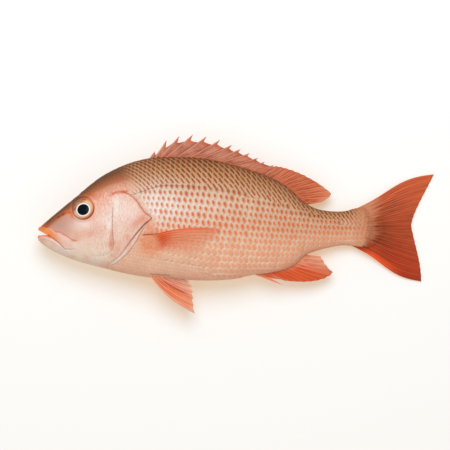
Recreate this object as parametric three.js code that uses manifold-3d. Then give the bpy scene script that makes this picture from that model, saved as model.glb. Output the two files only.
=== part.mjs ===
// A whole raw snapper lying on its right side: body, fins and gill covers are one solid,
// and the two eyes are balls of their own in their sockets. Millimetres, +Z up.
//
// The fish is first drawn upright in its own frame: x runs from the lower jaw to the tail,
// y from belly to back, and z out of its left side. layDown() then bends its middle plane
// to the way a limp fish lies, with the flank flat on the table and the tail let down.
import * as THREE from "three";
import { mergeVertices } from "three/addons/utils/BufferGeometryUtils.js";
import Module from "manifold-3d";

const wasm = await Module();
wasm.setup();

// ---------------------------------------------------------------- driving dimensions
// Stations down the body: x from the jaw, y of the back, the belly and the widest level,
// and half of the thickness there.
const STATIONS = [
  { x: 0, back: -7, belly: -7, widest: -7, half: 0 }, // tip of the jaws
  { x: 0.6, back: -3.6, belly: -11.2, widest: -7, half: 2.8 },
  { x: 2.5, back: 0.8, belly: -13.9, widest: -6.5, half: 5.4 },
  { x: 6.5, back: 4.5, belly: -17.2, widest: -6, half: 8.4 },
  { x: 14.5, back: 11.3, belly: -22.5, widest: -5.5, half: 11.8 },
  { x: 28.5, back: 23.2, belly: -29, widest: -4, half: 15.8 },
  { x: 45.5, back: 37.3, belly: -34.8, widest: -1.5, half: 19.4 }, // eye
  { x: 65.5, back: 52.4, belly: -40, widest: 1.5, half: 22.8 },
  { x: 88.5, back: 63.7, belly: -45.6, widest: 4, half: 25.6 }, // gill cover
  { x: 112.5, back: 70, belly: -49.5, widest: 5, half: 27.2 }, // first dorsal spine
  { x: 140.5, back: 71.2, belly: -51.3, widest: 5, half: 27.5 }, // deepest
  { x: 168.5, back: 69.2, belly: -52.6, widest: 4.5, half: 26.4 },
  { x: 195.5, back: 63.2, belly: -51.2, widest: 4, half: 23.9 },
  { x: 215.5, back: 57.2, belly: -47, widest: 3.5, half: 21.1 },
  { x: 232.5, back: 51, belly: -45, widest: 2.5, half: 18.2 },
  { x: 247.5, back: 43, belly: -41.5, widest: 1, half: 15.4 },
  { x: 258.5, back: 34, belly: -36.2, widest: 0, half: 13.2 },
  { x: 267.5, back: 25.4, belly: -27.6, widest: -0.5, half: 11.3 }, // end of the dorsal fin
  { x: 278.5, back: 19.8, belly: -23.2, widest: -1, half: 9.6 },
  { x: 292.5, back: 17, belly: -19.5, widest: -0.8, half: 8 },
  { x: 306.5, back: 16.8, belly: -17.6, widest: -0.3, half: 6.9 }, // wrist of the tail
  { x: 318.5, back: 19.8, belly: -18.6, widest: 0, half: 5.9 },
  { x: 330.5, back: 21.5, belly: -20, widest: 0, half: 4.3 },
  { x: 342.5, back: 15, belly: -14, widest: 0, half: 2 },
  { x: 350, back: 0, belly: 0, widest: 0, half: 0 }, // end of the flesh, inside the tail fin
];
const BODY_RINGS = 68;
const RING_POINTS = 32;
const RIDGE_SHARPNESS = 1.12; // above 1 draws the section in towards the back
const BELLY_FULLNESS = 0.92; // below 1 fills the section out towards the belly

// How it lies: the middle plane is level over the trunk and sinks towards the tail.
const FLANK_HEIGHT = 26; // middle plane above the table, under half of the thickness
const DROOP_START = 180;
const TAIL_DROP = 25; // at the tips of the tail fin
const TAIL_TIP_X = 397;

const OUTLINE_SEGMENTS = 6; // straight pieces between two points of an outline's curve
const COVER = { seam: 0.15, proud: 1.5, front: 60, full: 88, top: 30, foot: -37 };
// Rear edge of the gill cover, from above the cheek round the flap to the throat.
const GILL_EDGE = [
  [76, 35.5],
  [84, 36],
  [93.3, 32],
  [99, 26.7],
  [107, 15.4],
  [113.8, 9.8],
  [106.5, 3.7],
  [95, -10.1],
  [84.2, -25],
  [76, -32],
  [66, -39],
];
const FLAP_TIP = 5; // points before this one follow the upper edge, the others the lower
// Rear edge of the cheek, which lies over the gill cover: down behind the eye and forward.
const CHEEK_PROUD = 0.7;
const CHEEK_EDGE = [[76, 27], [76, 3], [77, -14], [75, -23], [66, -29], [60, -30]];
// The upper jaw's lip, from above the snout's tip back to its paddle end and under it again.
const JAW_BONE_PROUD = 0.9;
const JAW_BONE_TOP = [[3, 3], [11, 0.6], [18, -3], [26, -6.5], [33, -9.6], [40, -13]];
const JAW_BONE_FOOT = [[41.5, -17.5], [38, -22.5], [30, -20], [23, -15.5], [16, -10.5], [11, -7]];
// The open mouth is a wedge from its corner, depth behind the jaws' tips, out to both lips.
const GAPE = { depth: 11.2, level: -7, upperLip: -2, lowerLip: -8.6, reach: 4 };

const NOSTRIL = { x: 27, y: 14.6, length: 2.2, width: 1.3, depth: 1.1 };

const EYE = { x: 46.5, y: 19.3, radius: 11.2, dome: 3.9, depth: 6, sunk: 1.1 };
const SOCKET_CLEARANCE = 0.3;

// Every fin: rays with thin skin between them, from roots inside the flesh. Edges of a fin are
// Bezier curves through the tips of its rays, given by their control points.
const RAY_ROWS = 3; // quads along a ray
const RAY = { thick: 1.7, thinnest: 0.8 }; // thickness at the root and at the tip
const MEMBRANE = { thick: 0.9, thinnest: 0.6 };
const ROOT_INSIDE = 3;

// The dorsal fin starts with twelve spines: where each leaves the back, its length and its slope
// in degrees. Behind each tip the skin is cut in, by these amounts at the first and last spine.
const SPINE_ROOTS = [112.5, 118.2, 123.5, 129.8, 140.5, 153, 165, 175.4, 185.3, 196, 207.5, 217.5];
const SPINE_LENGTHS = [8.6, 19.8, 26.5, 32.7, 33.8, 32.9, 31.2, 29, 27.6, 25, 20.6, 19.7];
const SPINE_SLOPES = [55, 58, 49, 41, 35.5, 30.5, 24.5, 21.5, 18.5, 16, 18, 19];
const SPINE = { thick: 2.4, thinnest: 0.9 };
const NOTCH = { below: [7.5, 1.6], behind: [3.4, 1.2] };
const BARE_SPINE = [0.36, 0.2]; // share of a spine's front edge that is free of skin

const SOFT_DORSAL = {
  rays: 13,
  roots: [226, 268],
  upper: [[239.5, 62], [254, 60], [278, 50], [294.8, 34.3]],
  lower: [[294.8, 34.3], [290, 27.5], [284, 24], [272, 24.2]],
  corner: 0.8, // share of the rays that end on the upper edge
  bow: 0.4,
  scallop: 0.6,
};
const ANAL = {
  rays: 12,
  roots: [217.5, 266],
  upper: [[246.4, -57], [258, -51], [286, -57], [296.5, -44.6]],
  lower: [[296.5, -44.6], [288, -37], [282, -28], [270, -27.2]],
  corner: 0.72,
  bow: -0.4,
  scallop: 0.5,
};
const TAIL = {
  rays: 19,
  rootX: 322,
  rootBulge: 6,
  rootLevels: [20.5, -19.5],
  upper: [[397.4, 53.9], [388, 36], [374, 14], [373.8, 1.7]],
  lower: [[373.8, 1.7], [378, -22], [383, -34], [383.2, -53.6]],
  corner: 0.5, // the fork
  bow: 4.4,
  scallop: 0.8,
};
const PELVIC = {
  rays: 6,
  root: [[111, -45.5], [124, -46.5]],
  edge: [[157.6, -85.7], [156, -68], [156, -60], [150, -52.5]],
  bow: -5.5,
  scallop: 0.6,
  apart: 8, // root's distance from the middle plane
  sag: [7, 9], // how far the tip of the lower and of the upper fin hangs down
  tucked: 0.93, // length of the lower fin to that of the upper one
};
const PECTORAL = {
  rays: 10,
  rootX: 112,
  rootBulge: 2,
  rootLevels: [-8, -24],
  edge: [[187, -0.5], [176, -8], [170, -24], [150, -27.5]],
  bow: [2.5, 0.5],
  scallop: 0.8,
  sunk: 1.4, // its inner face under the skin of the flank
  proud: [1.1, 2.2], // its outer face over the skin, at the root and at the tip
  rayRelief: 0.35,
};

// ---------------------------------------------------------------- curves and the lying pose
const point = (x, y) => new THREE.Vector2(x, y);
const mix = THREE.MathUtils.lerp;
const smoothstep = THREE.MathUtils.smoothstep;

const stationCurve = (key) => new THREE.SplineCurve(STATIONS.map((s) => point(s.x, s[key])));
const curves = {
  back: stationCurve("back"),
  belly: stationCurve("belly"),
  widest: stationCurve("widest"),
  half: stationCurve("half"),
};

// Where station parameter t, from 0 at the jaws to 1 at the tail, lies at this x.
function parameterAt(x) {
  let low = 0;
  let high = 1;
  for (let step = 0; step < 30; step++) {
    const middle = (low + high) / 2;
    if (curves.half.getPoint(middle).x < x) low = middle;
    else high = middle;
  }
  return (low + high) / 2;
}

// The section's outline at parameter t: turn is 0 on the left flank and a quarter turn at
// the back. grow makes the section thicker, for the plates that lie on the body.
function bodyPoint(t, turn, grow = 0) {
  const x = curves.half.getPoint(t).x;
  const widest = curves.widest.getPoint(t).y;
  const up = Math.sin(turn);
  const reach = up > 0 ? curves.back.getPoint(t).y - widest : widest - curves.belly.getPoint(t).y;
  const across = Math.cos(turn);
  const power = up > 0 ? RIDGE_SHARPNESS : BELLY_FULLNESS;
  const half = Math.max(curves.half.getPoint(t).y, 0);
  const side = Math.sign(across) * Math.abs(across) ** power;
  return new THREE.Vector3(x, widest + (reach + grow * 0.2) * up, (half + grow) * side);
}

// Distance of the skin from the middle plane at a point (x, y) of the side view.
function skinAt(x, y) {
  const t = parameterAt(x);
  const widest = curves.widest.getPoint(t).y;
  const reach = y > widest ? curves.back.getPoint(t).y - widest : widest - curves.belly.getPoint(t).y;
  const up = THREE.MathUtils.clamp((y - widest) / reach, -1, 1);
  return bodyPoint(t, Math.asin(up)).z;
}

function middlePlane(x) {
  return FLANK_HEIGHT - TAIL_DROP * smoothstep(x, DROOP_START, TAIL_TIP_X);
}

// ---------------------------------------------------------------- solids
// A closed manifold-3d solid from a geometry, its faces turned outwards.
function solidOf(geometry) {
  const bare = geometry.clone();
  for (const name of Object.keys(bare.attributes)) {
    if (name !== "position") bare.deleteAttribute(name);
  }
  const merged = mergeVertices(bare, 1e-4);
  const mesh = () =>
    new wasm.Mesh({
      numProp: 3,
      vertProperties: merged.attributes.position.array,
      triVerts: new Uint32Array(merged.index.array),
    });
  const made = new wasm.Manifold(mesh());
  if (made.volume() > 0) return made;
  const order = merged.index.array;
  for (let i = 0; i < order.length; i += 3) {
    [order[i + 1], order[i + 2]] = [order[i + 2], order[i + 1]];
  }
  return new wasm.Manifold(mesh());
}

// The largest body of a solid, as a geometry: scraps from cutting are left out.
function geometryOf(solid) {
  const bodies = solid.decompose().sort((a, b) => b.volume() - a.volume());
  const mesh = bodies[0].getMesh();
  const geometry = new THREE.BufferGeometry();
  geometry.setAttribute("position", new THREE.BufferAttribute(mesh.vertProperties, 3));
  geometry.setIndex(new THREE.BufferAttribute(mesh.triVerts, 1));
  geometry.computeVertexNormals();
  return geometry;
}

function moveVertices(geometry, place) {
  const positions = geometry.attributes.position;
  for (let i = 0; i < positions.count; i++) {
    const { x, y, z } = place(new THREE.Vector3().fromBufferAttribute(positions, i), i);
    positions.setXYZ(i, x, y, z);
  }
  return geometry;
}

function layDown(geometry) {
  return moveVertices(geometry, (p) => p.setZ(p.z + middlePlane(p.x)));
}

// The body is a ball whose rings are drawn out to the stations' sections.
function bodySolid(growAt = () => 0) {
  const ball = new THREE.SphereGeometry(1, RING_POINTS, BODY_RINGS);
  const uv = ball.attributes.uv;
  return solidOf(
    layDown(
      moveVertices(ball, (p, i) => {
        const t = Math.round((1 - uv.getY(i)) * BODY_RINGS) / BODY_RINGS;
        const atPole = t === 0 || t === 1;
        const column = atPole ? 0 : Math.round(uv.getX(i) * RING_POINTS) % RING_POINTS;
        const turn = (column / RING_POINTS) * 2 * Math.PI;
        return bodyPoint(t, turn, growAt(curves.half.getPoint(t).x));
      }),
    ),
  );
}

// A prism across the whole fish whose side view is this outline.
function prismOf(shape) {
  const across = 4 * FLANK_HEIGHT;
  const options = { depth: across, bevelEnabled: false, curveSegments: OUTLINE_SEGMENTS };
  const geometry = new THREE.ExtrudeGeometry(shape, options);
  return solidOf(geometry.translate(0, 0, FLANK_HEIGHT - across / 2));
}

const toPoints = (pairs) => pairs.map(([x, y]) => point(x, y));

// A layer of the head that stands proud of the skin inside an outline.
function plateSolid(shape, growAt) {
  return bodySolid(growAt).intersect(prismOf(shape));
}

// Gill cover and cheek start flush with the skin and rise towards their rear edges.
const coverRise = (x) => COVER.seam + COVER.proud * smoothstep(x, COVER.front, COVER.full);
const cheekRise = (x) => COVER.seam + CHEEK_PROUD * smoothstep(x, COVER.front, CHEEK_EDGE[0][0]);

function gillCover() {
  const [top, ...rest] = toPoints(GILL_EDGE);
  const outline = new THREE.Shape().moveTo(COVER.front, COVER.top).lineTo(top.x, top.y);
  outline.splineThru(rest.slice(0, FLAP_TIP)).splineThru(rest.slice(FLAP_TIP));
  outline.lineTo(COVER.front, COVER.foot);
  return plateSolid(outline, coverRise);
}

function cheek() {
  const [top, ...rest] = toPoints(CHEEK_EDGE);
  const outline = new THREE.Shape().moveTo(COVER.front, top.y).lineTo(top.x, top.y);
  outline.splineThru(rest);
  return plateSolid(outline, (x) => cheekRise(x) + coverRise(x));
}

function jawBones() {
  const top = toPoints(JAW_BONE_TOP);
  const outline = new THREE.Shape().moveTo(-2, -1).lineTo(top[0].x, top[0].y);
  outline.splineThru([...top.slice(1), ...toPoints(JAW_BONE_FOOT)]);
  return plateSolid(outline, () => JAW_BONE_PROUD);
}

// The open mouth, a wedge right across between the two lips.
function gape() {
  const { depth, level, upperLip, lowerLip, reach } = GAPE;
  const wedge = new THREE.Shape().moveTo(depth, level);
  wedge.quadraticCurveTo(depth / 2, level + 1.6, -reach, upperLip);
  wedge.lineTo(-reach, lowerLip);
  wedge.quadraticCurveTo(depth / 3, level + 0.6, depth, level);
  return prismOf(wedge);
}

function nostril(side) {
  const { x, y, length, width, depth } = NOSTRIL;
  const pit = new THREE.SphereGeometry(1, 8, 6).scale(length, width, depth);
  pit.rotateZ(Math.PI / 5).translate(x, y, side * skinAt(x, y) + middlePlane(x));
  return solidOf(pit);
}

// ---------------------------------------------------------------- eyes
// A lens turned about its axis: a domed front and a deeper back, its rim at height 0.
function eyeball(spare = 0) {
  const { radius, dome, depth } = EYE;
  const steps = 8;
  const profile = [];
  for (let i = 0; i <= steps; i++) {
    const turn = (i / steps) * Math.PI;
    const height = turn < Math.PI / 2 ? depth : dome;
    profile.push(point((radius + spare) * Math.sin(turn), -(height + spare) * Math.cos(turn)));
  }
  profile[0].x = 0;
  profile[steps].x = 0;
  return new THREE.LatheGeometry(profile, 20).rotateX(Math.PI / 2); // its front looks along +z
}

// The place and the direction of an eye: square to the skin round it.
function eyeFrame(side) {
  const { x, y, sunk } = EYE;
  const span = 6;
  const slopeX = (skinAt(x + span, y) - skinAt(x - span, y)) / (2 * span);
  const slopeY = (skinAt(x, y + span) - skinAt(x, y - span)) / (2 * span);
  const facing = new THREE.Vector3(-slopeX, -slopeY, 1).normalize();
  facing.z *= side;
  const centre = new THREE.Vector3(x, y, side * skinAt(x, y));
  centre.addScaledVector(facing, -sunk).setZ(centre.z + middlePlane(x));
  const turn = new THREE.Quaternion().setFromUnitVectors(new THREE.Vector3(0, 0, 1), facing);
  return new THREE.Matrix4().compose(centre, turn, new THREE.Vector3(1, 1, 1));
}

// ---------------------------------------------------------------- fins
// A fin is a row of columns, each a line from its root to its tip: a ray, or the skin
// between two rays. A finely cut box is drawn out along them, thicker where the rays are.
function finSolid(columns, liftAt) {
  const plate = new THREE.BoxGeometry(1, 1, 1, columns.length - 1, RAY_ROWS, 1);
  return solidOf(
    moveVertices(plate, (p) => {
      const column = columns[Math.round((p.x + 0.5) * (columns.length - 1))];
      const along = p.y + 0.5;
      const flat = column.root.clone().lerp(column.tip, along);
      const out = column.tip.clone().sub(column.root).normalize();
      const bow = column.bow * 4 * along * (1 - along);
      flat.add(point(-out.y * bow, out.x * bow));
      const thick = mix(column.thick, column.thinnest, along);
      const lift = liftAt ? liftAt(flat, along) : middlePlane(flat.x);
      return new THREE.Vector3(flat.x, flat.y, lift + Math.sign(p.z) * (thick / 2));
    }),
  );
}


// Rays and the skin between them, spread between two curves that run from u = 0 to u = 1. The
// skin ends short of the line through the rays' tips by the scallop.
function fanOf({ rays, scallop }, rootAt, tipAt, bowAt) {
  const columns = [];
  for (let i = 0; i < 2 * rays - 1; i++) {
    const u = i / (2 * rays - 2);
    const onRay = i % 2 === 0;
    const root = rootAt(u);
    const tip = tipAt(u);
    if (!onRay) tip.lerp(root, scallop / tip.distanceTo(root));
    columns.push({ root, tip, bow: bowAt(u), ...(onRay ? RAY : MEMBRANE) });
  }
  return columns;
}

// The edge of a fin: one Bezier curve, or two that meet where u reaches the corner.
function edgeCurve(first, second, corner = 1) {
  const before = new THREE.CubicBezierCurve(...toPoints(first));
  const after = new THREE.CubicBezierCurve(...toPoints(second ?? first));
  return (u) => {
    if (u < corner || !second) return before.getPoint(u / corner);
    return after.getPoint((u - corner) / (1 - corner));
  };
}

// Point on the back or the belly at this x, a little inside the flesh.
function edgeOfBody(key, x, inside) {
  const y = curves[key].getPoint(parameterAt(x)).y;
  return point(x, y - Math.sign(y) * inside);
}

// Front part of the dorsal fin: spines whose tips stand clear of the skin between them.
function dorsalSpines() {
  const columns = [];
  SPINE_ROOTS.forEach((x, i) => {
    const share = i / (SPINE_ROOTS.length - 1);
    const angle = THREE.MathUtils.degToRad(SPINE_SLOPES[i]);
    const out = point(Math.cos(angle), Math.sin(angle));
    const rear = point(out.y, -out.x);
    const root = edgeOfBody("back", x, 0);
    const tip = root.clone().addScaledVector(out, SPINE_LENGTHS[i]);
    root.addScaledVector(out, -ROOT_INSIDE);
    const beside = (along, across) => tip.clone().addScaledVector(out, -along).addScaledVector(rear, across);
    const bare = SPINE_LENGTHS[i] * mix(...BARE_SPINE, share);
    const below = Math.min(mix(...NOTCH.below, share), SPINE_LENGTHS[i] * 0.4);
    const rootAt = (step) => point(root.x + step, root.y);
    const behind = mix(...NOTCH.behind, share);
    if (i > 0) columns.push({ root: rootAt(-1.2), tip: beside(bare, -0.2), bow: 0, ...MEMBRANE });
    columns.push({ root: rootAt(0), tip, bow: 0, ...SPINE });
    columns.push({ root: rootAt(0.8), tip: beside(0.8, 0.6), bow: 0, ...SPINE });
    columns.push({ root: rootAt(2), tip: beside(below, behind), bow: 0, ...MEMBRANE });
  });
  return columns;
}

// A fin of soft rays on the back or on the belly.
function softFin(side, fin) {
  const rootAt = (u) => edgeOfBody(side, mix(...fin.roots, u), ROOT_INSIDE);
  return fanOf(fin, rootAt, edgeCurve(fin.upper, fin.lower, fin.corner), () => fin.bow);
}

function tailFin() {
  const { rootX, rootBulge, rootLevels, upper, lower, corner, bow } = TAIL;
  const rootAt = (u) => point(rootX + rootBulge * Math.sin(Math.PI * u), mix(...rootLevels, u));
  return fanOf(TAIL, rootAt, edgeCurve(upper, lower, corner), (u) => bow * (1 - 2 * u) ** 3);
}

function pelvicFin(side) {
  const { root, edge, bow, apart, sag, tucked } = PELVIC;
  const [front, rear] = toPoints(root);
  const edgeAt = edgeCurve(edge);
  const rootAt = (u) => front.clone().lerp(rear, u);
  const tipAt = (u) => rootAt(u).lerp(edgeAt(u), side > 0 ? 1 : tucked);
  const hang = side > 0 ? sag[1] : sag[0];
  const lift = (p, along) => middlePlane(p.x) + side * apart - hang * along;
  return finSolid(fanOf(PELVIC, rootAt, tipAt, (u) => bow * (1 - u)), lift);
}

// The pectoral fin lies back against the flank, so its inner face is sunk in the skin.
function pectoralFin(side) {
  const { rootX, rootBulge, rootLevels, edge, bow, sunk, proud, rayRelief } = PECTORAL;
  const rootAt = (u) => point(rootX + rootBulge * Math.sin(Math.PI * u), mix(...rootLevels, u));
  const columns = fanOf(PECTORAL, rootAt, edgeCurve(edge), (u) => mix(...bow, u));
  const plate = new THREE.BoxGeometry(1, 1, 1, columns.length - 1, 2 * RAY_ROWS, 1);
  return solidOf(
    moveVertices(plate, (p) => {
      const index = Math.round((p.x + 0.5) * (columns.length - 1));
      const column = columns[index];
      const along = p.y + 0.5;
      const flat = column.root.clone().lerp(column.tip, along);
      flat.y += column.bow * 4 * along * (1 - along);
      const onRay = index % 2 === 0 ? rayRelief : 0;
      const over = p.z > 0 ? mix(...proud, along) + onRay : -sunk;
      return new THREE.Vector3(flat.x, flat.y, middlePlane(flat.x) + side * (skinAt(flat.x, flat.y) + over));
    }),
  );
}

// ---------------------------------------------------------------- assembly
function floorCut() {
  const slab = new THREE.BoxGeometry(600, 400, 40).translate(200, 0, -20);
  return solidOf(slab);
}

function fishSolid() {
  const dorsal = [...dorsalSpines(), ...softFin("back", SOFT_DORSAL)];
  const fins = [dorsal, softFin("belly", ANAL), tailFin()].map((columns) => finSolid(columns));
  for (const side of [1, -1]) fins.push(pelvicFin(side), pectoralFin(side));
  let fish = bodySolid().add(gillCover()).add(cheek()).add(jawBones()).subtract(gape());
  for (const fin of fins) fish = fish.add(fin);
  for (const side of [1, -1]) {
    const socket = eyeball(SOCKET_CLEARANCE).applyMatrix4(eyeFrame(side));
    fish = fish.subtract(solidOf(socket)).subtract(nostril(side));
  }
  return fish.subtract(floorCut());
}

function meshOf(name, geometry, material) {
  const mesh = new THREE.Mesh(geometry, material);
  mesh.name = name;
  return mesh;
}

const flesh = new THREE.MeshStandardMaterial({ color: 0xdc9478, roughness: 0.45, metalness: 0 });
const eyeGloss = new THREE.MeshStandardMaterial({ color: 0x1a2024, roughness: 0.12, metalness: 0 });

const fish = new THREE.Group();
fish.add(meshOf("fish", geometryOf(fishSolid()), flesh));
for (const [name, side] of [["eye_left", 1], ["eye_right", -1]]) {
  const eye = solidOf(eyeball().applyMatrix4(eyeFrame(side)));
  fish.add(meshOf(name, geometryOf(eye), eyeGloss));
}

// The part's origin is the middle of its box, on the table.
const box = new THREE.Box3().setFromObject(fish);
const middle = box.getCenter(new THREE.Vector3());
fish.position.set(-middle.x, -middle.y, -box.min.z);

export default fish;
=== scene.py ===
import math

import bmesh
import bpy
import numpy as np
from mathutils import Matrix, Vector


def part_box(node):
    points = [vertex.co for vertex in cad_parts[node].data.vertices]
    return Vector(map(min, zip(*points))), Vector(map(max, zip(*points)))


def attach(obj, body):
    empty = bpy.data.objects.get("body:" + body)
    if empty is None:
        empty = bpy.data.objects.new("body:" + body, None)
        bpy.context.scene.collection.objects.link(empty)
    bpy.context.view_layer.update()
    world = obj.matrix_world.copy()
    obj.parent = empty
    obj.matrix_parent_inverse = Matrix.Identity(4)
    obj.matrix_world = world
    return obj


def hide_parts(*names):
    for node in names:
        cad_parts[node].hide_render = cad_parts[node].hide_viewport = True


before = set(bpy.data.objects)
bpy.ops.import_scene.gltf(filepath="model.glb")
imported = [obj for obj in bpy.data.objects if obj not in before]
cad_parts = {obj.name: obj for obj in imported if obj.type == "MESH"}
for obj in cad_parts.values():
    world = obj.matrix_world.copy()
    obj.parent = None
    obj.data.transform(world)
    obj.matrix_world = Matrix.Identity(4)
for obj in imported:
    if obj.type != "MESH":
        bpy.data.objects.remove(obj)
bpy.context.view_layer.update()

# ---------------------------------------------------------------- camera
# The fish is looked at from straight above, from far away, with its back at the top of the view.
# Lengths of the fish are in millimetres in its own drawing: x from the jaws to the tail, y from
# belly to back, and out from its middle plane through the left flank.
MM = 0.001
TAIL_TIP_X = 397.4
PELVIC_TIP_Y = -85.7
body_low, body_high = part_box("fish")
JAWS_AT = body_high[0] - TAIL_TIP_X * MM
MIDLINE_AT = body_low[1] - PELVIC_TIP_Y * MM

LENS = 400.0
SENSOR = 36.0
VIEW_WIDTH = 0.45
VIEW_CENTRE = (187.5, 3.0)
VIEW_REACH = 30.0
FLANK_HEIGHT = 26.0  # of the middle plane over the table


def link(name, data):
    made = bpy.data.objects.new(name, data)
    bpy.context.collection.objects.link(made)
    return made


camera_data = bpy.data.cameras.new("camera")
camera_data.lens = LENS
camera_data.sensor_width = SENSOR
camera_data.clip_end = VIEW_REACH
camera = link("camera", camera_data)
camera.location = (
    JAWS_AT + VIEW_CENTRE[0] * MM,
    MIDLINE_AT + VIEW_CENTRE[1] * MM,
    FLANK_HEIGHT * MM + VIEW_WIDTH * LENS / SENSOR,
)
bpy.context.scene.camera = camera
bpy.context.scene.view_settings.view_transform = "Standard"

# ---------------------------------------------------------------- table and light
# A matt, nearly white table with a warm glow of its own, a large soft lamp above the back of the
# fish and pale light from all round, so that the one soft shadow falls below the belly.
FLOOR_SIZE = 6.0
FLOOR_GAP = 0.0002  # under the fish
PAPER_GRAIN = 0.995  # how light the darker grain of the paper is
FLOOR_COLOUR = (0.53, 0.68, 0.80, 1)
FLOOR_GLOW = (0.47, 0.31, 0.16, 1)
SKY_COLOUR = (1.0, 0.965, 0.93, 1)
SKY_STRENGTH = 0.56
LAMP_SIZE = 1.1
LAMP_POWER = 15.8
LAMP_COLOUR = (0.96, 1.0, 1.05)
LAMP_PLACE = (-0.1, 0.75, 1.4)


def finished(form, name, smooth=True):
    """A form as a piece of the scene."""
    mesh = bpy.data.meshes.new(name)
    form.to_mesh(mesh)
    form.free()
    if smooth:
        mesh.polygons.foreach_set("use_smooth", [True] * len(mesh.polygons))
    return link(name, mesh)


def new_material(name):
    material = bpy.data.materials.new(name)
    material.use_nodes = True
    tree = material.node_tree
    return material, tree, tree.nodes["Principled BSDF"]


def node(tree, kind, **values):
    made = tree.nodes.new(kind)
    for key, value in values.items():
        setattr(made, key, value)
    return made


sheet = bmesh.new()
bmesh.ops.create_grid(sheet, x_segments=1, y_segments=1, size=FLOOR_SIZE / 2)
floor = finished(sheet, "floor", smooth=False)
floor.location.z = -FLOOR_GAP
floor_finish, tree, shader = new_material("table paper")
shader.inputs["Roughness"].default_value = 0.9
shader.inputs["Specular IOR Level"].default_value = 0.0
shader.inputs["Emission Color"].default_value = FLOOR_GLOW
shader.inputs["Emission Strength"].default_value = 1.0
paper = node(tree, "ShaderNodeTexNoise")
paper.inputs["Scale"].default_value = 40.0
tint = node(tree, "ShaderNodeMix", data_type="RGBA")
tint.inputs[6].default_value = FLOOR_COLOUR
tint.inputs[7].default_value = tuple(c * PAPER_GRAIN for c in FLOOR_COLOUR[:3]) + (1,)
tree.links.new(paper.outputs[0], tint.inputs[0])
tree.links.new(tint.outputs[2], shader.inputs["Base Color"])
floor.data.materials.append(floor_finish)

lamp_data = bpy.data.lights.new("soft_lamp", "AREA")
lamp_data.shape = "DISK"
lamp_data.size = LAMP_SIZE
lamp_data.energy = LAMP_POWER
lamp_data.color = LAMP_COLOUR
lamp = link("soft_lamp", lamp_data)
lamp.location = LAMP_PLACE
lamp.rotation_euler = (-math.atan2(LAMP_PLACE[1], LAMP_PLACE[2]), 0, 0)
world = bpy.data.worlds.new("studio")
world.use_nodes = True
sky = world.node_tree.nodes["Background"]
sky.inputs["Color"].default_value = SKY_COLOUR
sky.inputs["Strength"].default_value = SKY_STRENGTH
bpy.context.scene.world = world

# ---------------------------------------------------------------- skin
# The body from the lips to the root of the tail, skin and flesh in one closed form, limp on its
# right flank. The mouth is open, and gill covers, cheeks and jaws stand a little proud.
STATIONS = [  # x, y of the back, y of the belly, y of the widest level, half of the thickness
    (0, -7, -7, -7, 0),
    (0.6, -3.6, -11.2, -7, 2.8),
    (2.5, 0.8, -13.9, -6.5, 5.4),
    (6.5, 4.5, -17.2, -6, 8.4),
    (14.5, 11.3, -22.5, -5.5, 11.8),
    (28.5, 23.2, -29, -4, 15.8),
    (45.5, 37.3, -34.8, -1.5, 19.4),
    (65.5, 52.4, -40, 1.5, 22.8),
    (88.5, 63.7, -45.6, 4, 25.6),
    (112.5, 70, -49.5, 5, 27.2),
    (140.5, 71.2, -51.3, 5, 27.5),
    (168.5, 69.2, -52.6, 4.5, 26.4),
    (195.5, 63.2, -51.2, 4, 23.9),
    (215.5, 57.2, -47, 3.5, 21.1),
    (232.5, 51, -45, 2.5, 18.2),
    (247.5, 43, -41.5, 1, 15.4),
    (258.5, 34, -36.2, 0, 13.2),
    (267.5, 25.4, -27.6, -0.5, 11.3),
    (278.5, 19.8, -23.2, -1, 9.6),
    (292.5, 17, -19.5, -0.8, 8),
    (306.5, 16.8, -17.6, -0.3, 6.9),
    (318.5, 19.8, -18.6, 0, 5.9),
    (330.5, 21.5, -20, 0, 4.3),
    (342.5, 15, -14, 0, 2),
    (350, 0, 0, 0, 0),
]
FLESH_END = 350.0
AROUND = 288
ALONG = 330
MOUTH_RINGS = 12
ROW_GATHERING = 0.22  # how far the rows of the mesh draw together along the middle of each flank
RIDGE_SHARPNESS = 1.12
BELLY_FULLNESS = 0.92
DROOP_START = 180.0
TAIL_DROP = 25.0
GAPE_DEPTH = 11.2
UPPER_LIP = [(11.2, -7), (5.8, -4.0), (-4, 0.4)]
LOWER_LIP = [(11.2, -7), (3.7, -7.0), (-4, -9.2)]
THROAT = (13.0, -7.4)

GILL_EDGE = [
    (76, 35.5), (84, 36), (93.3, 32), (99, 26.7), (107, 15.4), (113.8, 9.8),
    (106.5, 3.7), (95, -10.1), (84.2, -25), (76, -32), (66, -39),
]
GILL_SKIN_EDGE = [
    (113, 9.5), (109, 4.5), (104.8, -1.8), (101.8, -7.3), (98.8, -12.7), (94.5, -19), (90, -24.5),
    (83.5, -30.5), (76, -35.8), (67, -39),
]
CHEEK_EDGE = [
    (76.1, 28.5), (75.9, 20), (75.6, 12), (75.4, 3), (75.6, -4.5), (76.3, -11.8), (76.6, -17.3),
    (74.8, -21.8), (70.9, -25.5), (66, -27.6), (60, -28.4),
]
GILL_CREASE = [(75, 34), (80, 35.6), (86.3, 36.2), (92, 37.3)]
JAW_TOP = [
    (1.2, 1.5), (3.9, 1.8), (7.7, 1.2), (12.3, 0), (15.8, -1.8), (18.5, -3.8), (23.1, -4.6), (29.3, -8),
    (33.9, -11), (37.7, -13), (40, -12.6),
]
JAW_SLIT = [(10.8, -6.5), (13.9, -9.2), (18.5, -12.2), (23.1, -16), (27, -19.5), (30, -20.8), (35.5, -21)]
LOWER_LIP_RIM = [(-0.5, -9.4), (0.4, -8.2), (3.1, -7.4), (6.2, -7.2), (10, -7.6), (12.5, -8.8)]
LOWER_LIP_RIDGE = [(3.1, -9.5), (10, -10.3), (15.5, -12.6), (20, -15.7), (24.7, -18.8), (30.8, -22.6)]
NOSTRILS = [(25.8, 13.7), (21, 11.2)]
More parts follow.
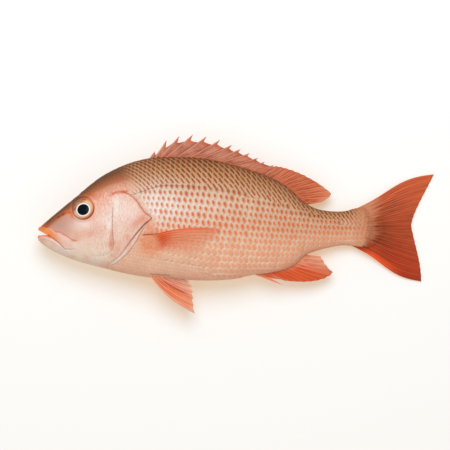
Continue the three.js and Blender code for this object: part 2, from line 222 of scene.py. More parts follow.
AXIL = [(104.5, -7.2), (107, -6.9), (111, -6.6), (116.5, -6.7), (119, -6.4)]
FIN_LOBE = [(108.5, -21.5), (111.8, -24.2), (117, -25.4), (122.4, -25.4)]
EYE_X = 45.8
EYE_Y = 19.8
EYE_RADIUS = 11.4

# Soft oval tints of the head: strength, middle and half size.
ORANGE_UNDER_BROWN = [
    (1.2, (30.8, 15.8), (3.2, 1.6)), (0.5, (35, 14), (2.5, 5)), (0.5, (52, 33), (16, 3.5)),
]
ORANGE_PATCHES = [
    (0.42, (105.5, 9.5), (6, 5)), (0.2, (98, 3), (7, 6)), (0.16, (60, -5), (8, 6)), (0.15, (31, 9), (6, 4)),
    (0.5, (74.5, -7), (1.6, 6)), (0.55, (74, -16), (2.4, 3.6)), (0.1, (9, -14), (9, 6)),
    (0.22, (4.5, -10.5), (4, 3.5)), (0.09, (90, 8), (9, 9)), (0.45, (36.5, -12.5), (3, 1.2)),
]
# Pale tints: partly the whitish skin of the gill cover and cheek, partly painted highlight beside the edge of
# the cheek and on the chin where the head turns away from the lamp.
PALE_AND_HIGHLIGHT_PATCHES = [
    (0.7, (88, 14), (14, 17)), (0.8, (72.5, 3), (2.8, 10)), (0.45, (66, 9), (8, 9)),
    (0.75, (46, 3.5), (12, 5.5)), (0.2, (22, -20), (16, 8)), (0.45, (55, -33), (14, 6)),
    (0.8, (79, 22), (3, 10)), (0.5, (26, -24), (14, 5)),
]
SNOUT_STRIPE = [(18.5, 10.6), (24, 13.2), (30, 15.8)]
JAW_SHEEN = [(22, -7.5), (31, -12.5), (40, -18)]


def smoothstep(low, high, value):
    share = np.clip((value - low) / (high - low), 0, 1)
    return share * share * (3 - 2 * share)


def drawn(knots, count=80):
    """A smooth curve through the knots, as this many points."""
    knots = np.array(knots, float)
    place = np.linspace(0, len(knots) - 1, count)
    start = np.minimum(place.astype(int), len(knots) - 2)
    t = (place - start)[:, None]
    before, here = knots[np.maximum(start - 1, 0)], knots[start]
    there, after = knots[start + 1], knots[np.minimum(start + 2, len(knots) - 1)]
    return 0.5 * (
        2 * here
        + (there - before) * t
        + (2 * before - 5 * here + 4 * there - after) * t**2
        + (3 * here - before - 3 * there + after) * t**3
    )


def bezier(controls, share):
    """Points of a Bezier curve."""
    points = [np.array(c, float) for c in controls]
    t = np.atleast_1d(np.asarray(share, float))[:, None]
    while len(points) > 1:
        points = [a * (1 - t) + b * t for a, b in zip(points, points[1:])]
    return points[0]


PROFILE = drawn(STATIONS, 2400)


def section(x, turn):
    """y and out of the skin at x; turn is 0 on the left flank and a quarter turn at the back."""
    back, belly, widest, half = (np.interp(x, PROFILE[:, 0], PROFILE[:, k]) for k in range(1, 5))
    up, across = np.sin(turn), np.cos(turn)
    reach = np.where(up > 0, back - widest, widest - belly)
    power = np.where(up > 0, RIDGE_SHARPNESS, BELLY_FULLNESS)
    return widest + reach * up, half * np.sign(across) * np.abs(across) ** power


def lay(x, y, out):
    """Drawing to table: the middle plane is level over the trunk and sinks towards the tail."""
    height = FLANK_HEIGHT - TAIL_DROP * smoothstep(DROOP_START, TAIL_TIP_X, x)
    return np.stack([JAWS_AT + x * MM, MIDLINE_AT + y * MM, (height + out) * MM], axis=-1)


def flank(x, turn, lift=0.0):
    """Places on the skin, raised by lift."""
    here = lay(x, *section(x, turn))
    forward = lay(x + 0.5, *section(x + 0.5, turn)) - lay(x - 0.5, *section(x - 0.5, turn))
    upward = lay(x, *section(x, turn + 0.01)) - lay(x, *section(x, turn - 0.01))
    normal = np.cross(forward, upward)
    normal /= np.maximum(np.linalg.norm(normal, axis=-1, keepdims=True), 1e-12)
    return here + normal * (np.asarray(lift) * MM)[..., None]


def away(x, y, path):
    """Distance of every place from a curve."""
    line = drawn(path)
    best = np.full(len(x), 1e9)
    for (ax, ay), (bx, by) in zip(line, line[1:]):
        dx, dy = bx - ax, by - ay
        t = np.clip(((x - ax) * dx + (y - ay) * dy) / (dx * dx + dy * dy + 1e-9), 0, 1)
        best = np.minimum(best, np.hypot(x - ax - t * dx, y - ay - t * dy))
    return best


def line_x(y, path):
    line = drawn(path)
    order = np.argsort(line[:, 1])
    return np.interp(y, line[order, 1], line[order, 0])


def line_y(x, path):
    line = drawn(path)
    order = np.argsort(line[:, 0])
    return np.interp(x, line[order, 0], line[order, 1])


def groove(distance, width):
    return np.exp(-((distance / width) ** 2))


def oval(x, y, middle, size):
    """Distance from the middle of an oval: 1 on its edge."""
    return np.hypot((x - middle[0]) / size[0], (y - middle[1]) / size[1])


def patch(x, y, middle, size):
    """A soft oval patch: 1 in its middle."""
    return groove(oval(x, y, middle, size), 1.0)


def patches(x, y, table):
    return sum(strength * patch(x, y, middle, size) for strength, middle, size in table)


def behind_head(x, y):
    """How far a place lies behind the gill covers and the bare nape."""
    nape = x - np.interp(y, [36, 64], [91, 77])
    collar = x - line_x(y, GILL_SKIN_EDGE) - 2.0
    upper = x - line_x(y, GILL_EDGE[:6]) - 1.5
    return np.where(y > 36, nape, np.where(y > 9.8, upper, collar))


def before_tail(x, y):
    return 334 - 0.02 * y**2 - x


def fin_fold(x, y):
    """The bare fleshy fold that the pectoral fin grows from: 1 on it, 0 away from it."""
    lobe = oval(x, y, (114.5, -15), (8.5, 9.5))
    pit = oval(x, y, (108, -6), (7.5, 5.5))
    return smoothstep(1.15, 0.85, np.minimum(lobe, pit))


def fin_flush(x, y):
    """The warm tint round the root of the pectoral fin."""
    return smoothstep(1.35, 0.45, oval(x, y, (114, -14), (13, 14.5)))


def brown_back(x, y):
    """The dark brown along the top of the snout, the forehead and the nape."""
    depth = np.interp(x, PROFILE[:, 0], PROFILE[:, 1]) - y
    return groove(depth / np.interp(x, [0, 40, 90], [7.0, 8.5, 16]), 1.0) * smoothstep(2, 7, x)


def scaled_part(x, y):
    """1 where the skin carries scales, 0 on the head, the fin folds and the root of the tail fin."""
    along = smoothstep(-1.5, 1.5, behind_head(x, y)) * smoothstep(-1.5, 1.5, before_tail(x, y))
    return along * (1 - fin_fold(x, y))


def places_of(form):
    return np.array([v.co[:] for v in form.verts])


def move(form, places):
    for v, place in zip(form.verts, places):
        v.co = place


def paint(form, masks, triples):
    """Writes masks, one number a vertex, and triples, three numbers a vertex, on a form."""
    for label in triples:
        form.verts.layers.float_vector.new(label)
    for label in masks:
        form.verts.layers.float.new(label)
    for label, rows in triples.items():
        layer = form.verts.layers.float_vector[label]
        for v, row in zip(form.verts, rows):
            v[layer] = row
    for label, values in masks.items():
        layer = form.verts.layers.float[label]
        for v, value in zip(form.verts, values):
            v[layer] = value


skin_form = bmesh.new()
bmesh.ops.create_uvsphere(skin_form, u_segments=AROUND, v_segments=ALONG, radius=1)
ball = places_of(skin_form)
ring = np.rint(np.arccos(np.clip(ball[:, 2], -1, 1)) / math.pi * ALONG)
turn = np.arctan2(ball[:, 1], ball[:, 0])
turn -= ROW_GATHERING * np.sin(2 * turn)

# Where each line of the skin along the body meets the lips.
turns = np.unique(np.round(turn, 6))
reach_in = np.linspace(0, GAPE_DEPTH, 160)
upper_edge = bezier(UPPER_LIP, np.linspace(0, 1, 40))[::-1]
lower_edge = bezier(LOWER_LIP, np.linspace(0, 1, 40))[::-1]
lip_ends = []
for angle in turns:
    level, _ = section(reach_in, np.full_like(reach_in, angle))
    top = np.interp(reach_in, upper_edge[:, 0], upper_edge[:, 1])
    foot = np.interp(reach_in, lower_edge[:, 0], lower_edge[:, 1])
    open_here = reach_in[(level < top) & (level > foot)]
    lip_ends.append(open_here.max() if len(open_here) else 0.4)
lip_x = np.interp(turn, turns, lip_ends)

share = np.clip((ring - MOUTH_RINGS) / (ALONG - MOUTH_RINGS), 0, 1)
spread = np.interp(share, [0, 0.04, 0.76, 1], [0, 0.008, 0.34, 1])
x = lip_x + (FLESH_END - lip_x) * spread
y, out = section(x, turn)
inside = np.clip(1 - ring / MOUTH_RINGS, 0, 1)
mouth = inside > 0
x = np.where(mouth, x + (THROAT[0] - x) * inside, x)
y = np.where(mouth, y + (THROAT[1] - y) * inside, y)
out = np.where(mouth, out * (1 - inside), out)
move(skin_form, lay(x, y, out))
bmesh.ops.recalc_face_normals(skin_form, faces=skin_form.faces[:])
if skin_form.calc_volume(signed=True) < 0:
    bmesh.ops.reverse_faces(skin_form, faces=skin_form.faces[:])
skin_form.normal_update()
normals = np.array([v.normal[:] for v in skin_form.verts])

# Relief of the head, in millimetres out of the skin.
outer = 1.0 - mouth
gill_gap = away(x, y, GILL_EDGE)
gill_ahead = np.where(y > 36, -gill_gap, np.sign(line_x(y, GILL_EDGE[1:]) - x) * gill_gap)
flap_gap = away(x, y, GILL_SKIN_EDGE)
flap_ahead = np.sign(line_x(y, GILL_SKIN_EDGE) - x) * flap_gap
cheek_gap = away(x, y, CHEEK_EDGE)
cheek_ahead = np.where(y > 27, -cheek_gap, np.sign(line_x(y, CHEEK_EDGE) - x) * cheek_gap)
crease_gap = away(x, y, GILL_CREASE)
jaw_top_gap = away(x, y, JAW_TOP)
slit_gap = away(x, y, JAW_SLIT)
lip_gap = away(x, y, LOWER_LIP_RIDGE)
axil_gap = away(x, y, AXIL)
lobe_gap = away(x, y, FIN_LOBE)
eye_gap = np.hypot(x - EYE_X, y - EYE_Y)
jaw_top_above = np.sign(y - line_y(x, JAW_TOP)) * jaw_top_gap
slit_above = np.sign(y - line_y(x, JAW_SLIT)) * slit_gap
cover = smoothstep(-0.8, 0.8, gill_ahead) * smoothstep(58, 92, x) * (y < 37)
flap = smoothstep(-0.8, 0.8, flap_ahead) * smoothstep(66, 90, x) * smoothstep(14, 6, y)
cheek = smoothstep(-1.0, 1.0, cheek_ahead) * smoothstep(52, 76, x) * smoothstep(-34, -26, y)
in_jaw = (y < line_y(x, JAW_TOP)) & (y > line_y(x, JAW_SLIT)) & (x < 41)
in_jaw |= (x < 11) & (y < line_y(x, JAW_TOP)) & (y > -7)
jaw = in_jaw * smoothstep(0, 1.6, np.minimum(jaw_top_gap, 9)) * smoothstep(41, 34, x)
relief = 1.2 * cover - 0.35 * groove(gill_ahead + 1.1, 0.9) * (x > 66) * (y < 36)
relief += 0.4 * flap - 0.3 * groove(flap_ahead + 1.0, 0.8) * (x > 74) * (y < 9)
relief += 0.45 * cheek - 0.35 * groove(cheek_gap, 0.9) * (x > 58)
relief -= 0.45 * groove(crease_gap, 1.0)
relief += 0.7 * jaw - 0.3 * groove(slit_gap, 0.9) * (x > 10) - 0.2 * groove(jaw_top_gap, 0.8)
relief += 0.6 * groove(lip_gap, 1.5)
relief += 0.5 * groove(eye_gap - 12.4, 0.9) - 0.4 * groove(eye_gap - 14.6, 1.3)
relief -= 3.0 * smoothstep(11.9, 9.8, eye_gap)
relief += 0.12 * smoothstep(1.1, 0.4, oval(x, y, (115.5, -16), (9, 9.5)))
relief -= 0.4 * groove(axil_gap, 0.9) + 0.3 * groove(lobe_gap, 0.9)
for nostril in NOSTRILS:
    relief -= 0.9 * patch(x, y, nostril, (1, 1))
relief -= 0.26 * scaled_part(x, y)
soft_lumps = np.sin(x * 0.31 + 1.3 * np.sin(y * 0.17)) * np.sin(y * 0.27 + 1.1 * np.sin(x * 0.13))
fine_lumps = np.sin(x * 1.1 + 2.0 * np.sin(y * 0.71)) * np.sin(y * 0.93 + 1.7 * np.sin(x * 0.57))
relief += (0.16 * soft_lumps + 0.05 * fine_lumps) * smoothstep(4, 20, x) * (1 - scaled_part(x, y))
raised = places_of(skin_form) + normals * (relief * outer * MM)[:, None]
raised[:, 2] = np.maximum(raised[:, 2], 0.0003)

# Tints that follow those forms.
height = np.sin(turn) * outer
orange = 0.55 * groove(crease_gap - 0.5, 1.8) * (y < 38)
orange += 0.4 * groove(gill_ahead + 0.3, 1.1) * (y > 9) * (x > 84)
orange += 0.8 * groove(away(x, y, SNOUT_STRIPE), 0.9)
behind_eye = smoothstep(-10, 4, x - EYE_X) * smoothstep(6, -2, y - EYE_Y)
orange += 0.7 * groove(eye_gap - EYE_RADIUS, 0.9) * behind_eye
orange += patches(x, y, ORANGE_UNDER_BROWN)
orange *= 1 - 0.8 * brown_back(x, y)
lip_front = patch(x, y, (3, 1.5), (6, 4.5)) * (y > -5)
orange += patches(x, y, ORANGE_PATCHES) + 0.8 * lip_front
orange += 0.15 * groove(gill_ahead - 5, 4) * smoothstep(12, 4, y) * smoothstep(64, 80, x)
from_snout = x + 0.5 * y
lips = 0.55 * smoothstep(15.5, 12, from_snout) + 0.4 * smoothstep(20, 15, from_snout)
lips = jaw * lips * (1 - 0.55 * lip_front)
lip_edge = 0.95 * groove(away(x, y, LOWER_LIP_RIM), 1.4) * (y < -6.9) * outer
dusk = patch(x, y, (20, 5), (17, 13)) * (y > line_y(x, JAW_TOP))
dusk += 0.9 * groove(eye_gap - 12.6, 1.0) * smoothstep(-2, 5, y - EYE_Y) * smoothstep(9, -3, x - EYE_X)
# Whitish skin, with painted highlight along the ridges of the lower lip and the jaw.
pale_and_highlight = patches(x, y, PALE_AND_HIGHLIGHT_PATCHES) + 0.8 * groove(lip_gap, 1.3) + 0.4 * groove(away(x, y, JAW_SHEEN), 1.8)
on_flap = smoothstep(0, 0.8, -gill_ahead) * smoothstep(0, 0.8, flap_ahead)
pale_and_highlight += 0.12 * on_flap * smoothstep(74, 82, x) * (y < 6)
masks = {
    "height": height, "orange": orange, "lips": lips, "lip edge": lip_edge, "mouth": 0.8 * mouth,
    "brown": brown_back(x, y), "dusk": dusk, "pale_and_highlight": pale_and_highlight,
    "striped": smoothstep(40, 66, x) * smoothstep(-40, -28, y) * (1 - fin_fold(x, y)),
    "flush": fin_flush(x, y), "aft": smoothstep(296, 322, x), "scaled": scaled_part(x, y),
}
for number, (nostril_x, nostril_y) in enumerate(NOSTRILS):
    slant = y - nostril_y - 0.5 * (x - nostril_x)
    masks[f"nostril {number}"] = patch(x, slant, (nostril_x, 0), (2.1, 0.8))
# Thin lines: how far each place lies from the line, and how strong the line is there. The dark lines of the
# gill, flap, cheek, crease and axil follow grooves and are painted shade with a reddish tint of the skin; the
# jaw, slit and lobe lines are orange-brown skin.
gill_strength = np.where(
    y < 10, 0.25 * smoothstep(64, 82, x) + 0.65 * smoothstep(84, 104, x), 0.5 * smoothstep(84, 92, x)
)
strokes = {
    "gill shade line": (gill_ahead + 0.7, gill_strength),
    "flap shade line": (flap_ahead + 0.6, 0.5 * smoothstep(70, 90, x) * smoothstep(10, 7, y)),
    "cheek shade line": (cheek_ahead, 0.6 * smoothstep(-30, -12, y) * smoothstep(28, 12, y)),
    "jaw line": (jaw_top_above, 0.6 * smoothstep(11, 20, x) * smoothstep(42, 37, x)),
    "slit line": (slit_above, 0.6 * smoothstep(9, 12, x) * smoothstep(36, 28, x)),
    "crease shade line": (crease_gap, 0.6 * outer),
    "axil shade line": (axil_gap, 0.9 * smoothstep(103.5, 107, x) * smoothstep(119, 114, x)),
    "lobe line": (lobe_gap, 0.6 * outer),
}
paint(
    skin_form,
    {label: np.clip(mask, -1, 1) for label, mask in masks.items()},
    {
        label: np.stack([np.clip(gap, -9, 9), strength, np.zeros(len(x))], axis=-1)
        for label, (gap, strength) in strokes.items()
    },
)
move(skin_form, raised)
lip_verts = [v for v, r in zip(skin_form.verts, ring) if abs(r - MOUTH_RINGS) <= 1]
for _ in range(2):
    bmesh.ops.smooth_vert(
        skin_form, verts=lip_verts, factor=0.5, use_axis_x=True, use_axis_y=True, use_axis_z=True
    )
skin = finished(skin_form, "skin")


def mask_of(tree, name):
    """A mask painted on the mesh, as a number."""
    return node(tree, "ShaderNodeAttribute", attribute_name=name).outputs["Fac"]


def colour(red, green, blue):
    """A colour as it is seen, 0 to 255, as the shader's linear light."""
    seen = np.array([red, green, blue]) / 255
    return (*np.where(seen < 0.04045, seen / 12.92, ((seen + 0.055) / 1.055) ** 2.4), 1.0)


def blend(tree, amount, below, above):
    """One colour over another; amount is a number or a socket, a colour is a seen one or a socket."""
    made = node(tree, "ShaderNodeMix", data_type="RGBA")
    for socket, value in ((made.inputs[0], amount), (made.inputs[6], below), (made.inputs[7], above)):
        if isinstance(value, bpy.types.NodeSocket):
            tree.links.new(value, socket)
        else:
            socket.default_value = colour(*value) if isinstance(value, tuple) else value
    return made.outputs[2]


def layered(tree, base, *tints):
    """Tints laid over a colour one after the other: (amount or name of a mask, tint) pairs."""
    for amount, tint in tints:
        base = blend(tree, mask_of(tree, amount) if isinstance(amount, str) else amount, base, tint)
    return base


def maths(tree, how, a, b=0.0):
    made = node(tree, "ShaderNodeMath", operation=how)
    for socket, value in zip(made.inputs, (a, b)):
        if isinstance(value, bpy.types.NodeSocket):
            tree.links.new(value, socket)
        else:
            socket.default_value = value
    return made.outputs[0]


def times(tree, *factors):
    product = factors[0]
    for factor in factors[1:]:
        product = maths(tree, "MULTIPLY", product, factor)
    return product


def ramp(tree, value, *stops):
    """Colours or greys along a value: (place, colour) pairs."""
    made = node(tree, "ShaderNodeValToRGB")
    band = made.color_ramp
    while len(band.elements) < len(stops):
        band.elements.new(0.5)
    for element, (place, tone) in zip(band.elements, stops):
        element.position = place
        element.color = colour(*tone) if isinstance(tone, tuple) else (tone, tone, tone, 1)
    tree.links.new(value, made.inputs[0])
    return made.outputs[0]


# Flesh mottle: soft blotches and fine speckle that both skin and scales show.
mottle = bpy.data.node_groups.new("flesh mottle", "ShaderNodeTree")
for name, kind, way in (
    ("Blotch Scale", "NodeSocketFloat", "INPUT"),
    ("Speckle Scale", "NodeSocketFloat", "INPUT"),
    ("Blotch", "NodeSocketFloat", "OUTPUT"),
    ("Speckle", "NodeSocketFloat", "OUTPUT"),
):
    mottle.interface.new_socket(name=name, in_out=way, socket_type=kind)
group_in = mottle.nodes.new("NodeGroupInput")
group_out = mottle.nodes.new("NodeGroupOutput")
place_of = mottle.nodes.new("ShaderNodeTexCoord")
for name, detail in (("Blotch", 3.0), ("Speckle", 2.0)):
    texture = mottle.nodes.new("ShaderNodeTexNoise")
    texture.inputs["Detail"].default_value = detail
    mottle.links.new(place_of.outputs["Object"], texture.inputs["Vector"])
    mottle.links.new(group_in.outputs[f"{name} Scale"], texture.inputs["Scale"])
    mottle.links.new(texture.outputs[0], group_out.inputs[name])


def mottled(tree, blotches, speckles):
    made = node(tree, "ShaderNodeGroup", node_tree=mottle)
    made.inputs["Blotch Scale"].default_value = blotches
    made.inputs["Speckle Scale"].default_value = speckles
    return made.outputs["Blotch"], made.outputs["Speckle"]


def bumped(tree, shader, heights, strength, distance):
    bump = node(tree, "ShaderNodeBump")
    bump.inputs["Strength"].default_value = strength
    bump.inputs["Distance"].default_value = distance
    tree.links.new(heights, bump.inputs["Height"])
    tree.links.new(bump.outputs[0], shader.inputs["Normal"])


def wet(shader, roughness, specular, coat, coat_roughness):
    shader.inputs["Roughness"].default_value = roughness
    shader.inputs["Specular IOR Level"].default_value = specular
    shader.inputs["Coat Weight"].default_value = coat
    shader.inputs["Coat Roughness"].default_value = coat_roughness


def level_of(tree):
    """The height on the body from 0 at the belly to 1 at the back."""
    made = maths(tree, "MULTIPLY_ADD", mask_of(tree, "height"), 0.5)
    made.node.inputs[2].default_value = 0.5
    return made


def fine_lines(tree, turn, squeeze, scale):
    """Fine lines that run side by side at an angle to the body."""
    place = node(tree, "ShaderNodeTexCoord")
    mapping = node(tree, "ShaderNodeMapping")
    mapping.inputs["Rotation"].default_value = (0, 0, turn)
    mapping.inputs["Scale"].default_value = (squeeze, 1, 1)
    texture = node(tree, "ShaderNodeTexNoise")
    texture.inputs["Scale"].default_value = scale
    texture.inputs["Detail"].default_value = 3.0
    tree.links.new(place.outputs["Object"], mapping.inputs[0])
    tree.links.new(mapping.outputs[0], texture.inputs["Vector"])
    return texture.outputs[0]


skin_finish, tree, shader = new_material("wet skin")
blotch, speckle = mottled(tree, 60.0, 900.0)
lines = fine_lines(tree, math.radians(8), 3.6, 330.0)
# Lighter towards the belly: the fish's own pale belly, and at the belly and chin also painted light where the
# body turns away from the lamp.
base = ramp(
    tree, level_of(tree),
    (0.0, (234, 208, 180)), (0.1, (242, 220, 196)), (0.29, (238, 208, 188)),
    (0.5, (232, 192, 170)), (0.7, (228, 184, 164)), (0.85, (214, 152, 126)),
    (1.0, (206, 138, 104)),
)
stripes = ramp(tree, lines, (0.34, 0.38), (0.48, 0.0), (0.51, 0.0), (0.64, 0.54))
under_scales = ramp(
    tree, level_of(tree),
    (0.0, (236, 176, 142)), (0.6, (216, 176, 144)), (0.85, (182, 130, 86)), (1.0, (120, 70, 32)),
)
flush = mask_of(tree, "flush")
fold_lines = fine_lines(tree, math.radians(82), 3.0, 420.0)
fold_lines = ramp(tree, fold_lines, (0.42, 0.55), (0.5, 0.0), (0.56, 0.0), (0.64, 0.3))
base = layered(
    tree, base,
    (ramp(tree, blotch, (0.42, 0.0), (0.62, 0.6)), (230, 164, 136)),
    # Whitish skin and painted highlight.
    ("pale_and_highlight", (240, 220, 210)),
    (
        times(tree, stripes, mask_of(tree, "striped")),
        ramp(tree, lines, (0.49, (212, 140, 112)), (0.51, (244, 228, 218))),
    ),
    ("dusk", (190, 146, 132)),
    ("scaled", under_scales),
    (times(tree, flush, 0.85), (232, 146, 104)),
    (times(tree, flush, fold_lines), (204, 104, 62)),
)


def under_brown(tree, base, brown):
    """Orange-brown that deepens to dark brown towards the top of the head."""
    tone = ramp(tree, brown, (0.0, (206, 132, 98)), (0.55, (158, 92, 60)), (0.95, (102, 62, 38)))
    return blend(tree, ramp(tree, brown, (0.02, 0.0), (0.4, 1.0)), base, tone)


base = under_brown(tree, base, mask_of(tree, "brown"))
base = layered(
    tree, base,
    ("aft", (214, 146, 110)), ("orange", (206, 92, 40)), ("lips", (236, 140, 82)),
    ("lip edge", (238, 108, 56)), ("mouth", (146, 68, 40)),
    *[(f"nostril {number}", (96, 50, 34)) for number in range(len(NOSTRILS))],
)


def triple_of(tree, name):
    """The three numbers painted on the mesh under one name."""
    stroke = node(tree, "ShaderNodeAttribute", attribute_name=name)
    parts = node(tree, "ShaderNodeSeparateXYZ")
    tree.links.new(stroke.outputs["Vector"], parts.inputs[0])
    return parts.outputs


def thin_line(tree, name, width):
    """1 on a line drawn on the skin, width millimetres to each side of it."""
    gap, strength, _ = triple_of(tree, name)
    return times(tree, ramp(tree, maths(tree, "ABSOLUTE", gap), (0.3 * width, 1.0), (width, 0.0)), strength)


# Dark lines along the grooves are painted shade with the skin's reddish tint; the jaw, slit and lobe lines
# are orange-brown skin.
for name, width, tone in (
    ("gill shade line", 0.95, (136, 72, 46)), ("flap shade line", 0.8, (150, 88, 62)),
    ("cheek shade line", 0.7, (150, 98, 80)), ("jaw line", 0.85, (196, 104, 72)),
    ("slit line", 0.8, (206, 104, 64)), ("crease shade line", 0.8, (176, 84, 54)),
    ("axil shade line", 0.9, (128, 60, 40)), ("lobe line", 0.8, (196, 100, 64)),
):
    base = blend(tree, thin_line(tree, name, width), base, tone)
base = blend(tree, ramp(tree, speckle, (0.45, 0.0), (0.75, 0.08)), base, (236, 200, 180))
tree.links.new(base, shader.inputs["Base Color"])
wet(shader, 0.42, 0.04, 0.015, 0.15)
bumped(tree, shader, maths(tree, "ADD", speckle, lines), 0.25, 0.0005)
skin.data.materials.append(skin_finish)
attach(skin, "root")
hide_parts("fish")

# ---------------------------------------------------------------- scales
# Thin horny plates that overlap like roof tiles, each held in the skin at its front. They lie in
# rows along the flank; above the lateral line the rows climb towards the back.
SCALE_PITCH = 5.75  # along a row
ROW_PITCH = 6.65
LATERAL_LINE = [
    (84, 30.5), (95, 33.2), (105.5, 36.6), (116.5, 40.4), (127, 42.4), (145, 42.2), (171.5, 40),
    (202.5, 33.5), (224.5, 28.3), (252.5, 20), (280.5, 11), (307.5, 3), (324, 0), (340, 0),
]
UPPER_AXIS = [(84, 34), (100, 38), (120, 41), (195, 41), (217, 34.5), (242, 25.5), (285, 11), (330, 3)]
ROW_AXIS = [(84, 21), (92, 20), (162, 13), (222, 6), (282, 1), (312, 0), (330, 0)]
LOWER_SIZES = [  # x, then the share of the two pitches that the scales have there
    (84, 0.72, 0.8), (108, 0.8, 0.9), (135, 0.93, 1.0), (175, 1.02, 1.06), (235, 0.84, 0.94),
    (285, 0.77, 0.84), (330, 0.68, 0.72),
]
UPPER_SIZES = [
    (84, 0.6, 0.56), (105, 0.72, 0.68), (140, 0.92, 0.86), (180, 0.97, 0.91), (222, 0.92, 0.81),
    (262, 0.82, 0.75), (292, 0.76, 0.76), (330, 0.68, 0.7),
]
BREAST_SIZES = [(84, 0.55, 0.56), (180, 0.62, 0.66), (330, 0.62, 0.66)]
BREAST_TOP = [(88, -8), (104, -14), (112, -26), (170, -42), (182, -60)]
FIELD_GAP = (2.7, 3.0)  # least distance of an upper and of a breast scale from the others
LOWER_SHIFT = 0.28  # of a pitch, from each row to the row above it
UPPER_SHIFT = 0.06
LOWER_LEAN = math.radians(10)
UPPER_LEAN = math.radians(33)
SCALE_LENGTH = (-1.2, 0.52)  # front and rear end from the middle of the bare part, in pitches
SCALE_HALF_WIDTH = 0.72  # in row pitches
SCALE_RISE = (-0.2, 0.0)  # of the front and of the rear edge over the skin
SCALE_EDGE = 0.14
SCALE_JITTER = 0.16
LEAN_JITTER = 0.05
SIZE_JITTER = 0.03
SCALE_SQUARES = 4  # of the mesh, along and across a plate
PELVIC_FOLD = [(113, -45.8), (120, -46.4), (132, -47.2)]
ROWS_START = 60.0
ROWS_END = 345.0
RUN_STEP = 0.5
ARC_STEP = 1.5

stretch = np.arange(ROWS_START, ROWS_END, RUN_STEP)
arc_x = np.arange(ROWS_START, ROWS_END + 1, ARC_STEP)
arc_turn = np.linspace(-math.pi / 2, math.pi / 2, 121)


def scale_rows(sizes, axis):
    """How far rows have run at every x, and the girth from the axis that they follow."""
    at, along, across = zip(*sizes)
    run = np.concatenate([[0], np.cumsum(RUN_STEP / np.interp(stretch, at, along))[:-1]])
    girths = []
    for at_x in arc_x:
        level_y, level_out = section(np.full_like(arc_turn, at_x), arc_turn)
        steps = np.hypot(np.diff(level_y), np.diff(level_out))
        girth = np.concatenate([[0], np.cumsum(steps)])
        girths.append(girth - np.interp(np.interp(at_x, *zip(*axis)), level_y, girth))
    return {"run": run, "girths": np.array(girths), "at": at, "across": across}


def rows_to_flank(rows, along, across):
    """x and turn of places given in even row measure."""
    at_x = np.interp(along, rows["run"], stretch)
    girth = across * np.interp(at_x, rows["at"], rows["across"])
    place = np.clip((at_x - arc_x[0]) / ARC_STEP, 0, len(arc_x) - 1.001)
    row = place.astype(int)
    part = (place - row)[:, None]
    girths = rows["girths"][row] * (1 - part) + rows["girths"][row + 1] * part
    upto = np.clip((girths < girth[:, None]).sum(axis=1), 1, len(arc_turn) - 1)
    index = np.arange(len(girth))
    low, high = girths[index, upto - 1], girths[index, upto]
    step = np.clip((girth - low) / (high - low + 1e-9), 0, 1)
    return at_x, arc_turn[upto - 1] + step * (arc_turn[1] - arc_turn[0])


def turned(points, angle):
    c, s = np.cos(angle), np.sin(angle)
    along, across = points[..., 0], points[..., 1]
    return np.stack([along * c - across * s, along * s + across * c], axis=-1)


def scale_centres(rows, shift, start, keep):
    """Middles of the scales of one field, in even row measure."""
    row, place = np.mgrid[-30:30, -60:60]
    spots = np.stack([SCALE_PITCH * (place + shift * row), ROW_PITCH * (row + start)], axis=-1).reshape(-1, 2)
    spots += (np.interp(150, stretch, rows["run"]), 0)
    spots = spots[(spots[:, 0] > rows["run"][0]) & (spots[:, 0] < rows["run"][-1])]
    at_x, angle = rows_to_flank(rows, spots[:, 0], spots[:, 1])
    at_y, _ = section(at_x, angle)
    on_body = (np.abs(angle) < math.radians(89.8)) & (scaled_part(at_x, at_y) > 0.5)
    return spots[on_body & keep(at_x, at_y)]


def over_line(at_x, at_y):
    """How far a place lies above the lateral line."""
    return at_y - line_y(at_x, LATERAL_LINE)


def over_breast(at_x, at_y):
    """How far a place lies above the breast, where the scales are small."""
    return at_y - np.interp(at_x, *zip(*BREAST_TOP))


def apart(rows, spots, others, least):
    """The scales of a field that keep clear of the scales of the main field."""
    at_x, angle = rows_to_flank(rows, spots[:, 0], spots[:, 1])
    at_y, _ = section(at_x, angle)
    near = np.hypot(at_x[:, None] - others[0][None, :], at_y[:, None] - others[1][None, :])
    return spots[near.min(axis=1) > least]


chance = np.random.default_rng(7)
lower_rows = scale_rows(LOWER_SIZES, ROW_AXIS)
upper_rows = scale_rows(UPPER_SIZES, UPPER_AXIS)
breast_rows = scale_rows(BREAST_SIZES, ROW_AXIS)
lower = scale_centres(
    lower_rows, LOWER_SHIFT, 0.0,
    lambda at_x, at_y: (over_line(at_x, at_y) < 1.6) & (over_breast(at_x, at_y) > 0),
)
lower_x, lower_angle = rows_to_flank(lower_rows, lower[:, 0], lower[:, 1])
lower_places = (lower_x, section(lower_x, lower_angle)[0])
upper = scale_centres(upper_rows, UPPER_SHIFT, 0.1, lambda at_x, at_y: over_line(at_x, at_y) > -0.5)
breast = scale_centres(breast_rows, LOWER_SHIFT, 0.0, lambda at_x, at_y: over_breast(at_x, at_y) < 1)
fields = [
    (upper_rows, apart(upper_rows, upper, lower_places, FIELD_GAP[0])),
    (lower_rows, lower),
    (breast_rows, apart(breast_rows, breast, lower_places, FIELD_GAP[1])),
]
centres = np.concatenate([spots for _, spots in fields])
field_of = np.repeat(np.arange(len(fields)), [len(spots) for _, spots in fields])
centres = centres + chance.normal(0, SCALE_JITTER, centres.shape)
aim = np.where(field_of == 0, UPPER_LEAN, LOWER_LEAN) + chance.normal(0, LEAN_JITTER, len(centres))
sizes = chance.normal(1, SIZE_JITTER, len(centres))
tones = chance.random(len(centres))


